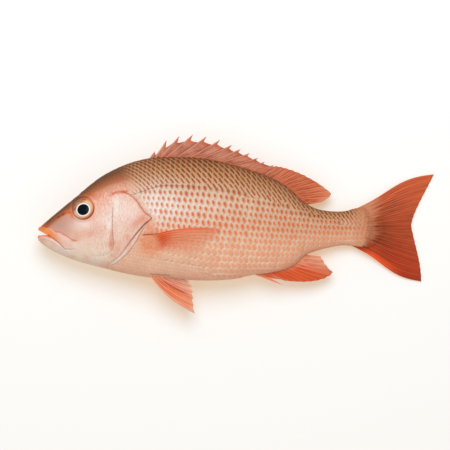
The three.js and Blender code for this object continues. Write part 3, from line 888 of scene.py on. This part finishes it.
def scale_field(name, side):
    """All scales of one flank: one plate, copied as often as needed and set on its place."""
    form = bmesh.new()
    number = form.verts.layers.int.new("number")
    bmesh.ops.create_grid(form, x_segments=SCALE_SQUARES, y_segments=SCALE_SQUARES, size=1)
    edge = [e for e in form.edges if e.is_boundary]
    for f in form.faces:
        f.smooth = True
    for part in bmesh.ops.extrude_edge_only(form, edges=edge)["geom"]:
        if isinstance(part, bmesh.types.BMVert):
            part.co.z = -1
        if isinstance(part, bmesh.types.BMFace):
            part.smooth = False
    made = 1
    while made < len(centres):
        take = min(made, len(centres) - made)
        verts = [v for v in form.verts if v[number] < take]
        faces = [f for f in form.faces if f.verts[0][number] < take]
        copies = bmesh.ops.duplicate(form, geom=verts + faces)["geom"]
        for v in copies:
            if isinstance(v, bmesh.types.BMVert):
                v[number] += made
        made += take
    local = places_of(form)
    which = np.array([v[number] for v in form.verts])
    # A square cut to a plate with a round rear edge.
    u, w = local[:, 0], local[:, 1]
    front, rear = SCALE_LENGTH
    bulge = (1 - 0.97 * np.abs(w) ** 2.2) ** 0.6
    length = front + (-0.36 + (rear + 0.36) * bulge - front) * (u + 1) / 2
    width = w * SCALE_HALF_WIDTH
    offset = np.stack([length * SCALE_PITCH, width * ROW_PITCH], axis=-1) * sizes[which][:, None]
    spot = centres[which] + turned(offset, aim[which])
    low, high = SCALE_RISE
    flatter = 1 - 0.8 * smoothstep(0, -18, spot[:, 1]) * (field_of[which] > 0)
    lift = (low + (high - low) * (u + 1) / 2 - 0.06 * w**2) * flatter
    lift += SCALE_EDGE * flatter * np.minimum(local[:, 2], 0)
    at_x, angle = np.zeros(len(spot)), np.zeros(len(spot))
    for part, (rows, _) in enumerate(fields):
        those = field_of[which] == part
        at_x[those], angle[those] = rows_to_flank(rows, spot[those, 0], spot[those, 1])
    at_y, _ = section(at_x, angle)
    behind = behind_head(at_x, at_y)
    lift -= 0.9 * smoothstep(0.8, -0.8, behind)
    set_down = flank(at_x, angle if side > 0 else math.pi - angle, lift)
    set_down[:, 2] = np.maximum(set_down[:, 2], 0.0)
    spotted = smoothstep(-2, 13, behind) * smoothstep(-2, 12, before_tail(at_x, at_y))
    spotted *= 1 - 0.45 * smoothstep(-2, -26, at_y) * smoothstep(230, 140, at_x)
    spotted *= 1 - 0.75 * smoothstep(-18, -36, at_y) * smoothstep(190, 120, at_x)
    masks = {
        "height": np.sin(angle),
        "spotted": spotted,
        # Whitish patch on the fore flank: partly silvery skin, partly a painted broad soft highlight.
        "silver and highlight": np.exp(-np.abs(at_x - 120) / 50) * groove((at_y - 21) / 22, 1.0),
        "line": np.clip(over_line(at_x, at_y) / 4, -1, 1),
        "along": np.clip((at_x - 80) / 250, 0, 1),
        "near": smoothstep(np.where(at_y > 38, 20, 7), 0, behind),
        "flush": np.maximum(fin_flush(at_x, at_y), patch(at_x, at_y, (110, 1), (8, 6))),
        "fin crease shade": np.clip(away(at_x, at_y, PELVIC_FOLD) / 4, 0, 1),
        "brown": brown_back(at_x, at_y),
        "upper": 1.0 * (field_of[which] == 0),
        "rear edge highlight": np.clip(2 * u - 1, 0, 1),
    }
    paint(form, masks, {"plate": np.stack([length, w, tones[which]], axis=-1)})
    move(form, set_down)
    form.verts.layers.int.remove(number)
    if side < 0:
        bmesh.ops.reverse_faces(form, faces=form.faces[:])
    return finished(form, name, smooth=False)


def from_middle(tree, along, across):
    """How far a place lies from the middle that it is along and across from."""
    squares = [maths(tree, "POWER", part, 2.0) for part in (along, across)]
    return maths(tree, "SQRT", maths(tree, "ADD", *squares))


scale_finish, tree, shader = new_material("wet scales")
blotch, speckle = mottled(tree, 45.0, 1100.0)
plate_along, plate_across, plate_tone = triple_of(tree, "plate")
level = level_of(tree)
along_body = mask_of(tree, "along")
# Net and spots grow lighter towards the belly: the fish's own pale belly, with painted light where the belly
# turns away from the lamp.
net = ramp(
    tree, level,
    (0.0, (240, 190, 158)), (0.1, (243, 201, 171)), (0.28, (236, 198, 168)),
    (0.5, (222, 182, 150)), (0.68, (214, 180, 146)), (0.8, (200, 152, 106)),
    (0.9, (178, 122, 68)), (1.0, (132, 74, 28)),
)
spots = ramp(
    tree, level,
    (0.0, (240, 160, 124)), (0.1, (241, 164, 128)), (0.28, (240, 150, 106)),
    (0.45, (224, 106, 48)), (0.68, (200, 87, 32)), (0.8, (148, 61, 17)),
    (0.9, (117, 51, 13)), (1.0, (90, 42, 11)),
)
net = layered(
    tree, net,
    (times(tree, plate_tone, 0.2), (204, 138, 104)),
    (ramp(tree, blotch, (0.45, 0.0), (0.7, 0.2)), (218, 150, 118)),
    ("silver and highlight", (238, 228, 218)),
    (ramp(tree, along_body, (0.55, 0.0), (0.85, 0.3)), (188, 126, 88)),
)
# The painted highlight of the fore flank pales the spots as well.
spots = blend(tree, times(tree, mask_of(tree, "silver and highlight"), 0.3), spots, (236, 150, 108))
# The rear edges of the plates are painted paler: painted highlight on the raised edges.
highlit_net = blend(tree, 0.5, net, (238, 228, 210))
net = blend(tree, ramp(tree, mask_of(tree, "rear edge highlight"), (0.3, 0.0), (1.0, 0.6)), net, highlit_net)
# The spot is an upright oval in the middle of the bare part of a scale, deepest at its heart; on
# the back it is a slim streak.
upper = mask_of(tree, "upper")
dx = times(tree, plate_along, maths(tree, "ADD", times(tree, upper, 2.0), 3.45))
dy = times(tree, plate_across, maths(tree, "SUBTRACT", 1.9, times(tree, upper, 1.13)))
grainy = times(tree, maths(tree, "SUBTRACT", speckle, 0.5), 1.3)
spot_distance = times(
    tree, maths(tree, "ADD", from_middle(tree, dx, dy), grainy),
    ramp(tree, plate_tone, (0.0, 0.6), (1.0, 0.45)), ramp(tree, level, (0.14, 0.7), (0.4, 1.0)),
)
spotted = mask_of(tree, "spotted")
spot_mask = times(
    tree, ramp(tree, spot_distance, (0.12, 1.0), (0.34, 0.85), (0.52, 0.4), (0.7, 0.0)), spotted,
    ramp(tree, along_body, (0.1, 0.88), (0.3, 1.0), (0.5, 0.94), (0.72, 0.94)),
)
plain = blend(tree, 0.22, net, spots)
line_mask = times(
    tree, ramp(tree, maths(tree, "ABSOLUTE", mask_of(tree, "line")), (0.06, 0.55), (0.13, 0.0)),
    ramp(tree, along_body, (0.2, 1.0), (0.28, 0.45), (0.42, 0.0)),
)
scale_colour = layered(
    tree, net,
    (ramp(tree, spotted, (0.0, 0.8), (0.8, 0.0)), plain),
    (spot_mask, spots),
    (ramp(tree, along_body, (0.93, 0.0), (1.0, 0.9)), (208, 138, 102)),
    (times(tree, mask_of(tree, "near"), 0.8), under_brown(tree, (232, 182, 156), mask_of(tree, "brown"))),
    (times(tree, mask_of(tree, "flush"), 0.85), (232, 146, 104)),
    # Darker along the root of the pelvic fins: painted shade in the fold.
    (ramp(tree, mask_of(tree, "fin crease shade"), (0.08, 0.5), (0.26, 0.0)), (168, 84, 54)),
    (line_mask, (132, 80, 52)),
)
tree.links.new(scale_colour, shader.inputs["Base Color"])
wet(shader, 0.42, 0.04, 0.015, 0.15)
bumped(tree, shader, speckle, 0.2, 0.0004)

# The scales of the left flank are named rim, those of the right flank rim.001.
for name, side in (("rim", 1), ("rim.001", -1)):
    scales = scale_field(name, side)
    scales.data.materials.append(scale_finish)
    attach(scales, "root")
    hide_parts("fish")

# ---------------------------------------------------------------- dorsal fin
# Twelve hard spines with skin between them, then thirteen soft rays up to a pointed lobe. The
# spines stand in the ridge of the back, and their tips are clear of the skin.
SPINE_ROOTS = [112.5, 118.2, 123.5, 129.8, 140.5, 153, 165, 175.4, 185.3, 196, 207.5, 217.5]
SPINE_LENGTHS = [8.6, 20.6, 28, 34.2, 35.2, 34.4, 32.6, 30.2, 28.6, 25.8, 21, 20]
SPINE_SLOPES = [55, 58, 49, 41, 35.5, 30.5, 24.5, 21.5, 18.5, 16, 18, 19]
ROOT_INSIDE = 3.0
SPINE_THICKNESS = (2.4, 0.8)
MEMBRANE = (0.8, 0.45)
RAY_RISE = (0.45, 0.22)  # of a soft ray over the skin between, on each face
FORKS = ((0.25, 0.2, 0.55), (0.125, 0.5, 0.85))  # how far branches part, and from where to where
FIN_ROWS = 36
COLUMNS_PER_RAY = 12


def column(root, tip, thick, ray, bow=(0.0, 0.0), soft=False):
    return {
        "root": np.array(root, float), "tip": np.array(tip, float), "thick": thick,
        "ray": ray, "bow": bow, "soft": soft,
    }


def fan(rays, root_at, tip_at, bow_at, scallop, first_ray=0):
    """Branching rays and the skin between them, spread from u = 0 to u = 1."""
    columns = []
    uneven = np.random.default_rng(rays).random(rays * 4)
    for i in range((rays - 1) * COLUMNS_PER_RAY + 1):
        u = i / ((rays - 1) * COLUMNS_PER_RAY)
        phase = (i % COLUMNS_PER_RAY) / COLUMNS_PER_RAY
        off_ray = 1 - abs(1 - 2 * phase)
        off_branch = abs((phase * 4 + 0.5) % 1 - 0.5) * 2
        root, tip = root_at(u), tip_at(u)
        frayed = scallop * (off_ray**0.8 + 0.6 * off_branch * uneven[int(u * (rays - 1) * 4 + 0.5)])
        tip = tip + (root - tip) * frayed / np.linalg.norm(tip - root)
        columns.append(column(root, tip, MEMBRANE, first_ray + u * (rays - 1), bow_at(u), True))
    return columns


def ridges(ray, along):
    """1 on the rays and their branches, 0 between them."""
    gap = np.abs(ray - np.rint(ray))
    for part, start, end in FORKS:
        gap = np.abs(gap - part * smoothstep(start, end, along))
    return groove(gap, np.interp(along, [0, 0.5, 1], [0.17, 0.1, 0.06]))


def edge_curve(first, second=None, corner=1.0):
    def at(u):
        if second is None or u < corner:
            return bezier(first, u / corner)[0]
        return bezier(second, (u - corner) / (1 - corner))[0]
    return at


def on_edge(side, x, inside):
    y = float(np.interp(x, PROFILE[:, 0], PROFILE[:, 1 if side == "back" else 2]))
    return np.array([x, y - math.copysign(inside, y)])


def middle(x, y, along, off):
    return lay(x, y, off)


def fin_plate(name, columns, rows=FIN_ROWS, place=middle, cover=None):
    """A closed plate drawn out along the columns, as thick as each of them says."""
    form = bmesh.new()
    bmesh.ops.create_grid(form, x_segments=len(columns) - 1, y_segments=rows, size=0.5)
    face = form.verts.layers.int.new("face")
    grown = bmesh.ops.extrude_face_region(form, geom=form.faces[:])["geom"]
    for v in grown:
        if isinstance(v, bmesh.types.BMVert):
            v[face] = 1
    flat = places_of(form)
    over = np.array([v[face] for v in form.verts]) * 2 - 1
    form.verts.layers.int.remove(face)
    index = np.rint((flat[:, 0] + 0.5) * (len(columns) - 1)).astype(int)
    along = flat[:, 1] + 0.5
    root, tip, thick, bow, ray, soft = (
        np.array([c[part] for c in columns])[index] for part in ("root", "tip", "thick", "bow", "ray", "soft")
    )
    out = (tip - root) / np.linalg.norm(tip - root, axis=1, keepdims=True)
    spot = root + (tip - root) * along[:, None]
    bent = bow[:, 0] * 4 * along * (1 - along) - bow[:, 1] * np.sin(2 * math.pi * along)
    spot += np.stack([-out[:, 1], out[:, 0]], axis=1) * bent[:, None]
    half = (thick[:, 0] + (thick[:, 1] - thick[:, 0]) * along) / 2
    body = bare = np.zeros(len(spot))
    if cover:
        clasp = cover(spot[:, 0], spot[:, 1])
        half = np.maximum(half, clasp)
        at_x, at_y = spot[:, 0], spot[:, 1]
        bare = smoothstep(341, 325, at_x + 0.014 * at_y**2) * smoothstep(0.3, 1.8, clasp)
        body = smoothstep(346 + 8 * smoothstep(6, 18, at_y), 327, at_x) * smoothstep(-19, -9, at_y)
    ridge = np.where(soft, ridges(ray, along), (thick[:, 0] - 0.8) / 1.6)
    half += soft * ridge * (RAY_RISE[0] + (RAY_RISE[1] - RAY_RISE[0]) * along)
    placed = place(spot[:, 0], spot[:, 1], along, over * half)
    placed[:, 2] = np.maximum(placed[:, 2], 0.0)
    breadth = (ray - ray.min()) / (ray.max() - ray.min())
    paint(form, {"flesh": body, "bare": bare}, {"ray": np.stack([breadth, along, ridge], axis=-1)})
    move(form, placed)
    bmesh.ops.recalc_face_normals(form, faces=form.faces[:])
    return finished(form, name)


def fin_finish(
    name, rays, tones, line, bold, calm=None, first=None, last=None, fold=None, clear=None, flesh=None,
    heart=None,
):
    """Moist fin. tones run from root to tip; first and last tint the foremost and the hindmost part
    (place where the tint ends, colour); line is the tone between the rays, and bold how much each
    ray stands out, up to the place calm; fold is a dark pleat (place, colour); clear sets how solid
    the fin is from root to tip and from first to last ray, and between the rays; flesh is the tone
    over the body and heart a tone of its own for one part."""
    material, tree, shader = new_material(name)
    breadth, along, ridge = triple_of(tree, "ray")
    tone = ramp(tree, along, *tones)
    if first:
        tone = blend(tree, ramp(tree, breadth, (0.0, 0.9), (first[0], 0.0)), tone, first[1])
    if last:
        tone = blend(tree, ramp(tree, breadth, (last[0], 0.0), (min(last[0] + 0.4, 1.0), 0.9)), tone, last[1])
    # Fine streaks that follow the rays, of uneven strength.
    streak_place = node(tree, "ShaderNodeCombineXYZ")
    tree.links.new(times(tree, breadth, rays * 1.3), streak_place.inputs[0])
    tree.links.new(times(tree, along, 1.3), streak_place.inputs[1])
    streak = node(tree, "ShaderNodeTexNoise")
    streak.inputs["Scale"].default_value = 1.0
    streak.inputs["Detail"].default_value = 4.0
    streak.inputs["Roughness"].default_value = 0.75
    tree.links.new(streak_place.outputs[0], streak.inputs["Vector"])
    dark = times(
        tree,
        ramp(tree, streak.outputs[0], (0.4, 0.0), (0.6, 1.0)),
        ramp(tree, ridge, (0.1, 1.0), (0.8, 0.3)),
        ramp(tree, along, (0.05, 0.0), (0.25, 0.9), (1.0, 0.55)),
    )
    tone = blend(tree, dark, tone, line)
    # Each ray has a dark line ahead of it, partly its own colour and partly painted shade, and a paler back,
    # painted highlight on the raised ray.
    turn = maths(tree, "FRACT", times(tree, breadth, float(rays - 1)))
    ahead = ramp(tree, turn, (0.72, 0.0), (0.82, bold), (0.93, bold), (1.0, 0.0))
    behind = ramp(tree, turn, (0.0, 0.8 * bold), (0.1, 0.8 * bold), (0.24, 0.0))
    if calm:
        ahead = times(tree, ahead, ramp(tree, breadth, (calm - 0.02, 1.0), (calm + 0.02, 0.9)))
        behind = times(tree, behind, ramp(tree, breadth, (calm - 0.02, 1.0), (calm + 0.02, 0.35)))
    tone = blend(tree, ahead, tone, line)
    tone = blend(tree, behind, tone, (238, 170, 140))
    if fold:
        place, deep = fold
        pleat = times(
            tree,
            ramp(
                tree, breadth,
                (place - 0.05, 0.0), (place - 0.01, 0.9), (place + 0.01, 0.9), (place + 0.05, 0.0),
            ),
            ramp(tree, along, (0.15, 0.0), (0.35, 1.0), (0.75, 1.0), (0.95, 0.0)),
        )
        tone = blend(tree, pleat, tone, deep)
    if heart:
        deep, from_root, from_first = heart
        where = times(tree, ramp(tree, along, *from_root), ramp(tree, breadth, *from_first))
        tone = blend(tree, where, tone, deep)
    if flesh:
        # The flesh thins out between the rays in uneven streaks.
        streaky = times(tree, maths(tree, "SUBTRACT", streak.outputs[0], 0.5), 1.5)
        tint = ramp(tree, maths(tree, "SUBTRACT", mask_of(tree, "flesh"), streaky), (0.2, 0.0), (0.9, 0.85))
        tone = blend(tree, tint, tone, flesh)
        uneven = maths(tree, "SUBTRACT", mask_of(tree, "bare"), streaky)
        tree.links.new(ramp(tree, uneven, (0.2, 1.0), (0.85, 0.0)), shader.inputs["Alpha"])
    tree.links.new(tone, shader.inputs["Base Color"])
    wet(shader, 0.45, 0.1, 0.03, 0.25)
    bumped(tree, shader, streak.outputs[0], 0.35, 0.0005)
    if clear:
        from_root, from_first, between_rays = clear
        solid = times(
            tree, ramp(tree, along, *from_root), ramp(tree, breadth, *from_first),
            ramp(tree, ridge, (0.0, between_rays), (0.6, 1.0)),
        )
        tree.links.new(solid, shader.inputs["Alpha"])
    return material


spine_columns = []
for i, root_x in enumerate(SPINE_ROOTS):
    share = i / (len(SPINE_ROOTS) - 1)
    slope = math.radians(SPINE_SLOPES[i])
    out = np.array([math.cos(slope), math.sin(slope)])
    behind = np.array([out[1], -out[0]])
    root = on_edge("back", root_x, 0)
    tip = root + out * SPINE_LENGTHS[i]
    root = root - out * ROOT_INSIDE
    bare = SPINE_LENGTHS[i] * (0.36 - 0.16 * share)
    below = min(7.5 - 5.9 * share, SPINE_LENGTHS[i] * 0.4)
    hollow = 3.4 - 2.2 * share
    foot = tip - out * bare - behind * 0.2
    notch = tip - out * below + behind * hollow
    if i:
        for part in (0.3, 0.65):
            between_root = last_root + (root + (-1.4, 0) - last_root) * part
            between_tip = last_notch + (foot - last_notch) * part - (0, 0.5 * (1 - share))
            spine_columns.append(column(between_root, between_tip, MEMBRANE, i - 1 + 0.2 + 0.6 * part))
        spine_columns.append(column(root + (-1.4, 0), foot, MEMBRANE, i - 0.2))
    spine_columns.append(column(root + (-0.8, 0), tip - out * 1.4 - behind * 0.15, (1.2, 0.6), i - 0.1))
    spine_columns.append(column(root, tip, SPINE_THICKNESS, i))
    spine_columns.append(column(root + (0.8, 0), tip - out * 1.0 + behind * 0.5, (1.6, 0.6), i + 0.1))
    last_root, last_notch = root + (2, 0), notch
    spine_columns.append(column(last_root, last_notch, MEMBRANE, i + 0.2))
soft_dorsal = fan(
    13,
    lambda u: on_edge("back", 226 + 42 * u, ROOT_INSIDE),
    edge_curve(
        [(239.5, 62), (254, 60), (278, 50), (294.8, 34.3)],
        [(294.8, 34.3), (290, 27.5), (284, 24), (272, 24.2)], 0.8,
    ),
    lambda u: (0.4, 0),
    0.7,
    first_ray=len(SPINE_ROOTS),
)
dorsal = fin_plate("dorsal_fin", spine_columns + soft_dorsal)
dorsal.data.materials.append(fin_finish(
    "dorsal fin", 25,
    ((0.1, (196, 112, 78)), (0.3, (206, 138, 112)), (0.75, (206, 138, 114)), (1.0, (206, 96, 62))),
    (146, 66, 40), bold=0.7, calm=0.46, last=(0.28, (214, 108, 66)),
    heart=((240, 158, 122), ((0.6, 0.0), (1.0, 0.7)), ((0.8, 0.0), (0.93, 1.0))),
))
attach(dorsal, "root")
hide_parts("fish")

# ---------------------------------------------------------------- anal fin
# Two slim spines under the belly, joined by a little skin, and soft rays behind them. The fin
# stands in the middle plane like the dorsal fin.
ANAL_SPINES = [(216, (245.6, -57)), (226, (250.4, -52.6))]  # x of the root, then the tip
ANAL_SPINE_INSIDE = 1.0
anal_columns = []
for i, (root_x, tip) in enumerate(ANAL_SPINES):
    root = on_edge("belly", root_x, ANAL_SPINE_INSIDE)
    anal_columns.append(column(root - (0.8, 0), np.array(tip) - (3.5, -0.9), (1.0, 0.6), i - 0.15))
    anal_columns.append(column(root, tip, (1.9, 0.8), i))
    anal_columns.append(column(root + (0.7, 0), np.array(tip) - (2.5, -1.3), (1.0, 0.6), i + 0.15))
    anal_columns.append(column(root + (2.2, 0), (233.5 + 7 * i, -50.6 + 0.4 * i), MEMBRANE, i + 0.5))
anal_columns += fan(
    12,
    lambda u: on_edge("belly", 230 + 36 * u, ROOT_INSIDE),
    edge_curve(
        [(248, -53), (260, -54.4), (286, -56.6), (296.5, -44.6)],
        [(296.5, -44.6), (289.5, -39.5), (286.5, -33), (283.7, -28.3)], 0.7,
    ),
    lambda u: (-0.4, 0),
    1.0,
    first_ray=len(ANAL_SPINES),
)
anal = fin_plate("anal_fin", anal_columns)
anal.data.materials.append(fin_finish(
    "anal fin", 14,
    ((0.05, (232, 140, 104)), (0.3, (222, 94, 46)), (1.0, (214, 88, 42))),
    (196, 62, 24), bold=0.35, first=(0.2, (252, 170, 134)), last=(0.64, (240, 188, 154)),
))
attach(anal, "root")
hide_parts("fish")

# ---------------------------------------------------------------- tail fin
# The forked tail: nineteen strong rays that spread from the fan of bones in the end of the flesh.
def skin_out(x, y):
    """Distance of the skin from the middle plane at a place in the side view."""
    back, belly, widest, half = (np.interp(x, PROFILE[:, 0], PROFILE[:, k]) for k in range(1, 5))
    reach = np.where(y > widest, back - widest, widest - belly)
    up = np.clip((y - widest) / reach, -1, 1)
    power = np.where(up > 0, RIDGE_SHARPNESS, BELLY_FULLNESS)
    return half * np.sqrt(1 - up**2) ** power


tail_columns = fan(
    19,
    lambda u: np.array([312 + 16 * math.sin(math.pi * u), 16.4 - 33 * u]),
    edge_curve(
        [(397.4, 53.9), (389, 36), (375, 14), (374.8, 1.7)],
        [(374.8, 1.7), (379.5, -22), (384.6, -34), (384.8, -53.6)], 0.5,
    ),
    lambda u: ((4.0 - 0.8 * u) * (1 - 2 * u) ** 3, 2.3 * (1 - 2 * u) ** 3),
    0.4,
)


def over_flesh(x, y):
    """The rays start on the end of the flesh and clasp it from both sides."""
    clasp = skin_out(x, y) + np.interp(x, [317, 327], [-0.9, 0.2])
    return np.where(x > 317, clasp, 0)


tail = fin_plate("tail_fin", tail_columns, rows=56, cover=over_flesh)
tail.data.materials.append(fin_finish(
    "tail fin", 19,
    ((0.2, (172, 92, 56)), (0.4, (158, 68, 32)), (0.65, (180, 70, 34)), (1.0, (186, 76, 40))),
    (104, 42, 20), bold=0.1, first=(0.5, (220, 101, 58)), last=(0.6, (186, 54, 20)),
    flesh=(208, 138, 102),
    heart=((240, 88, 40), ((0.15, 0.0), (0.3, 1.0), (0.55, 0.7), (0.75, 0.0)), ((0.9, 0.0), (0.975, 1.0))),
))
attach(tail, "root")
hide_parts("fish")

# ---------------------------------------------------------------- pelvic fins
# A pair below the chest, one spine and five soft rays each, folded back and down.
PELVIC_EDGE = [(157.6, -85.7), (154.5, -70), (157.5, -62), (152, -53)]
PELVIC_APART = 8.0
pelvic_finish = fin_finish(
    "pelvic fin", 6,
    ((0.05, (246, 156, 118)), (0.5, (250, 144, 98)), (1.0, (250, 172, 132))),
    (224, 92, 54), bold=0.5, first=(0.16, (250, 186, 156)), fold=(0.46, (170, 66, 40)),
    last=(0.4, (252, 214, 188)), clear=(((0.6, 1.0), (1.0, 0.75)), ((0.5, 1.0), (1.0, 0.45)), 0.7),
)
for name, side, reach, hang in (("pelvic_fin_left", 1, 1.0, 9.0), ("pelvic_fin_right", -1, 0.93, 7.0)):
    columns = fan(
        6,
        lambda u: np.array([111 + 13 * u, -45.5 - u]),
        lambda u: (1 - reach) * np.array([111 + 13 * u, -45.5 - u]) + reach * bezier(PELVIC_EDGE, u)[0],
        lambda u: (-4.4 * (1 - u), 0),
        1.7,
    )

    def pelvic_place(x, y, along, off):
        return lay(x, y, side * PELVIC_APART - hang * along + off)

    pelvic = fin_plate(name, columns, place=pelvic_place)
    pelvic.data.materials.append(pelvic_finish)
    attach(pelvic, "root")
    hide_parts("fish")

# ---------------------------------------------------------------- pectoral fins
# One on each flank behind the gill cover: a fan of fine rays in clear skin, laid back on the
# scales. The root is a fleshy fold, deep orange.
PECTORAL_EDGE = [(187, -0.5), (176, -8), (170, -24), (150, -27.5)]
pectoral_finish = fin_finish(
    "pectoral fin", 11,
    ((0.0, (248, 138, 88)), (0.2, (252, 150, 102)), (0.5, (255, 178, 136)), (0.8, (255, 190, 150))),
    (240, 122, 76), bold=0.6, first=(0.25, (246, 112, 56)),
    heart=(
        (238, 100, 50), ((0.04, 0.0), (0.12, 1.0), (0.17, 1.0), (0.32, 0.0)),
        ((0.0, 0.3), (0.2, 1.0), (0.7, 0.9), (0.95, 0.0)),
    ),
    clear=(
        (
            (0.0, 0.0), (0.04, 0.3), (0.13, 1.0), (0.3, 0.97),
            (0.5, 0.85), (0.75, 0.6), (0.93, 0.35), (1.0, 0.0),
        ),
        ((0.0, 1.0), (0.12, 0.97), (0.3, 0.78), (0.55, 0.5), (0.8, 0.25), (1.0, 0.0)), 0.6,
    ),
)
for name, side in (("pectoral_fin_left", 1), ("pectoral_fin_right", -1)):
    columns = fan(
        11,
        lambda u: np.array([114 + 3 * math.sin(math.pi * u) + 2 * u, -7 - 16 * u]),
        edge_curve(PECTORAL_EDGE),
        lambda u: (3.9 - 3.3 * u, 0),
        0.8,
    )

    def pectoral_place(x, y, along, off):
        return lay(x, y, side * (skin_out(x, y) - 0.35 + 1.1 * smoothstep(0, 0.08, along) + along + off))

    pectoral = fin_plate(name, columns, place=pectoral_place)
    pectoral.data.materials.append(pectoral_finish)
    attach(pectoral, "root")
    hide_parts("fish")

# ---------------------------------------------------------------- eyes
# Each eye is a ball in its socket, with a wet domed front: a dark pupil, a bright ring round it
# and a cream iris that turns orange-brown towards the snout.
EYE_DOME = 3.9
EYE_DEPTH = 6.0
EYE_SUNK = 1.1
FACING_SPAN = 6.0  # to each side of the eye, where the slope of the skin is read

eye_finish, tree, shader = new_material("wet eye")
disc_x, disc_y, disc_z = triple_of(tree, "disc")
grain = node(tree, "ShaderNodeTexNoise")
grain.inputs["Scale"].default_value = 3.0
grain.inputs["Detail"].default_value = 4.0
disc = node(tree, "ShaderNodeAttribute", attribute_name="disc")
tree.links.new(disc.outputs["Vector"], grain.inputs["Vector"])
pupil_x = maths(tree, "DIVIDE", maths(tree, "SUBTRACT", disc_x, 0.12), 1.07)
radius = from_middle(tree, pupil_x, maths(tree, "ADD", disc_y, 0.2))
iris = ramp(
    tree, radius,
    (0.49, (6, 15, 22)), (0.515, (246, 238, 232)), (0.575, (240, 230, 222)),
    (0.64, (186, 166, 150)), (0.72, (214, 190, 156)), (0.83, (216, 174, 130)),
    (0.92, (226, 140, 88)), (1.0, (214, 110, 62)),
)
streaked = blend(tree, ramp(tree, grain.outputs[0], (0.45, 0.0), (0.62, 1.0)), (196, 128, 76), (148, 78, 42))
toward_snout = maths(tree, "SUBTRACT", times(tree, disc_y, 0.9), disc_x)
front = ramp(tree, toward_snout, (0.25, 0.0), (0.5, 1.0))
foremost = ramp(tree, toward_snout, (0.7, 0.0), (1.0, 0.8))
iris = layered(
    tree, iris,
    (ramp(tree, from_middle(tree, disc_x, disc_y), (0.83, 0.0), (0.92, 0.85)), (228, 126, 70)),
    (times(tree, front, ramp(tree, radius, (0.62, 0.0), (0.7, 1.0))), streaked),
    (times(tree, foremost, ramp(tree, radius, (0.8, 0.0), (0.9, 1.0))), (112, 92, 96)),
    (ramp(tree, disc_z, (0.1, 1.0), (0.35, 0.0)), (176, 104, 72)),
)
tree.links.new(iris, shader.inputs["Base Color"])
wet(shader, 0.25, 0.06, 0.02, 0.08)

for name, side in (("eye_left", 1), ("eye_right", -1)):
    form = bmesh.new()
    bmesh.ops.create_uvsphere(form, u_segments=64, v_segments=48, radius=1)
    ball = places_of(form)
    rise_x = skin_out(EYE_X + FACING_SPAN, EYE_Y) - skin_out(EYE_X - FACING_SPAN, EYE_Y)
    rise_y = skin_out(EYE_X, EYE_Y + FACING_SPAN) - skin_out(EYE_X, EYE_Y - FACING_SPAN)
    facing = np.array([-rise_x / (2 * FACING_SPAN), -rise_y / (2 * FACING_SPAN), 1.0])
    facing /= np.linalg.norm(facing)
    across = np.cross([0.0, 1.0, 0.0], facing)
    across /= np.linalg.norm(across)
    upward = np.cross(facing, across)
    depth = np.where(ball[:, 2] > 0, EYE_DOME, EYE_DEPTH) * ball[:, 2] - EYE_SUNK
    spot = np.array([EYE_X, EYE_Y, float(skin_out(EYE_X, EYE_Y))])
    spot = spot + EYE_RADIUS * (ball[:, :1] * across + ball[:, 1:2] * upward) + depth[:, None] * facing
    placed = lay(spot[:, 0], spot[:, 1], side * spot[:, 2])
    placed[:, 2] = np.maximum(placed[:, 2], 0.0001)
    paint(form, {}, {"disc": ball})
    move(form, placed)
    bmesh.ops.recalc_face_normals(form, faces=form.faces[:])
    eye = finished(form, name + "ball")
    eye.data.materials.append(eye_finish)
    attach(eye, "root")
    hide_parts(name)
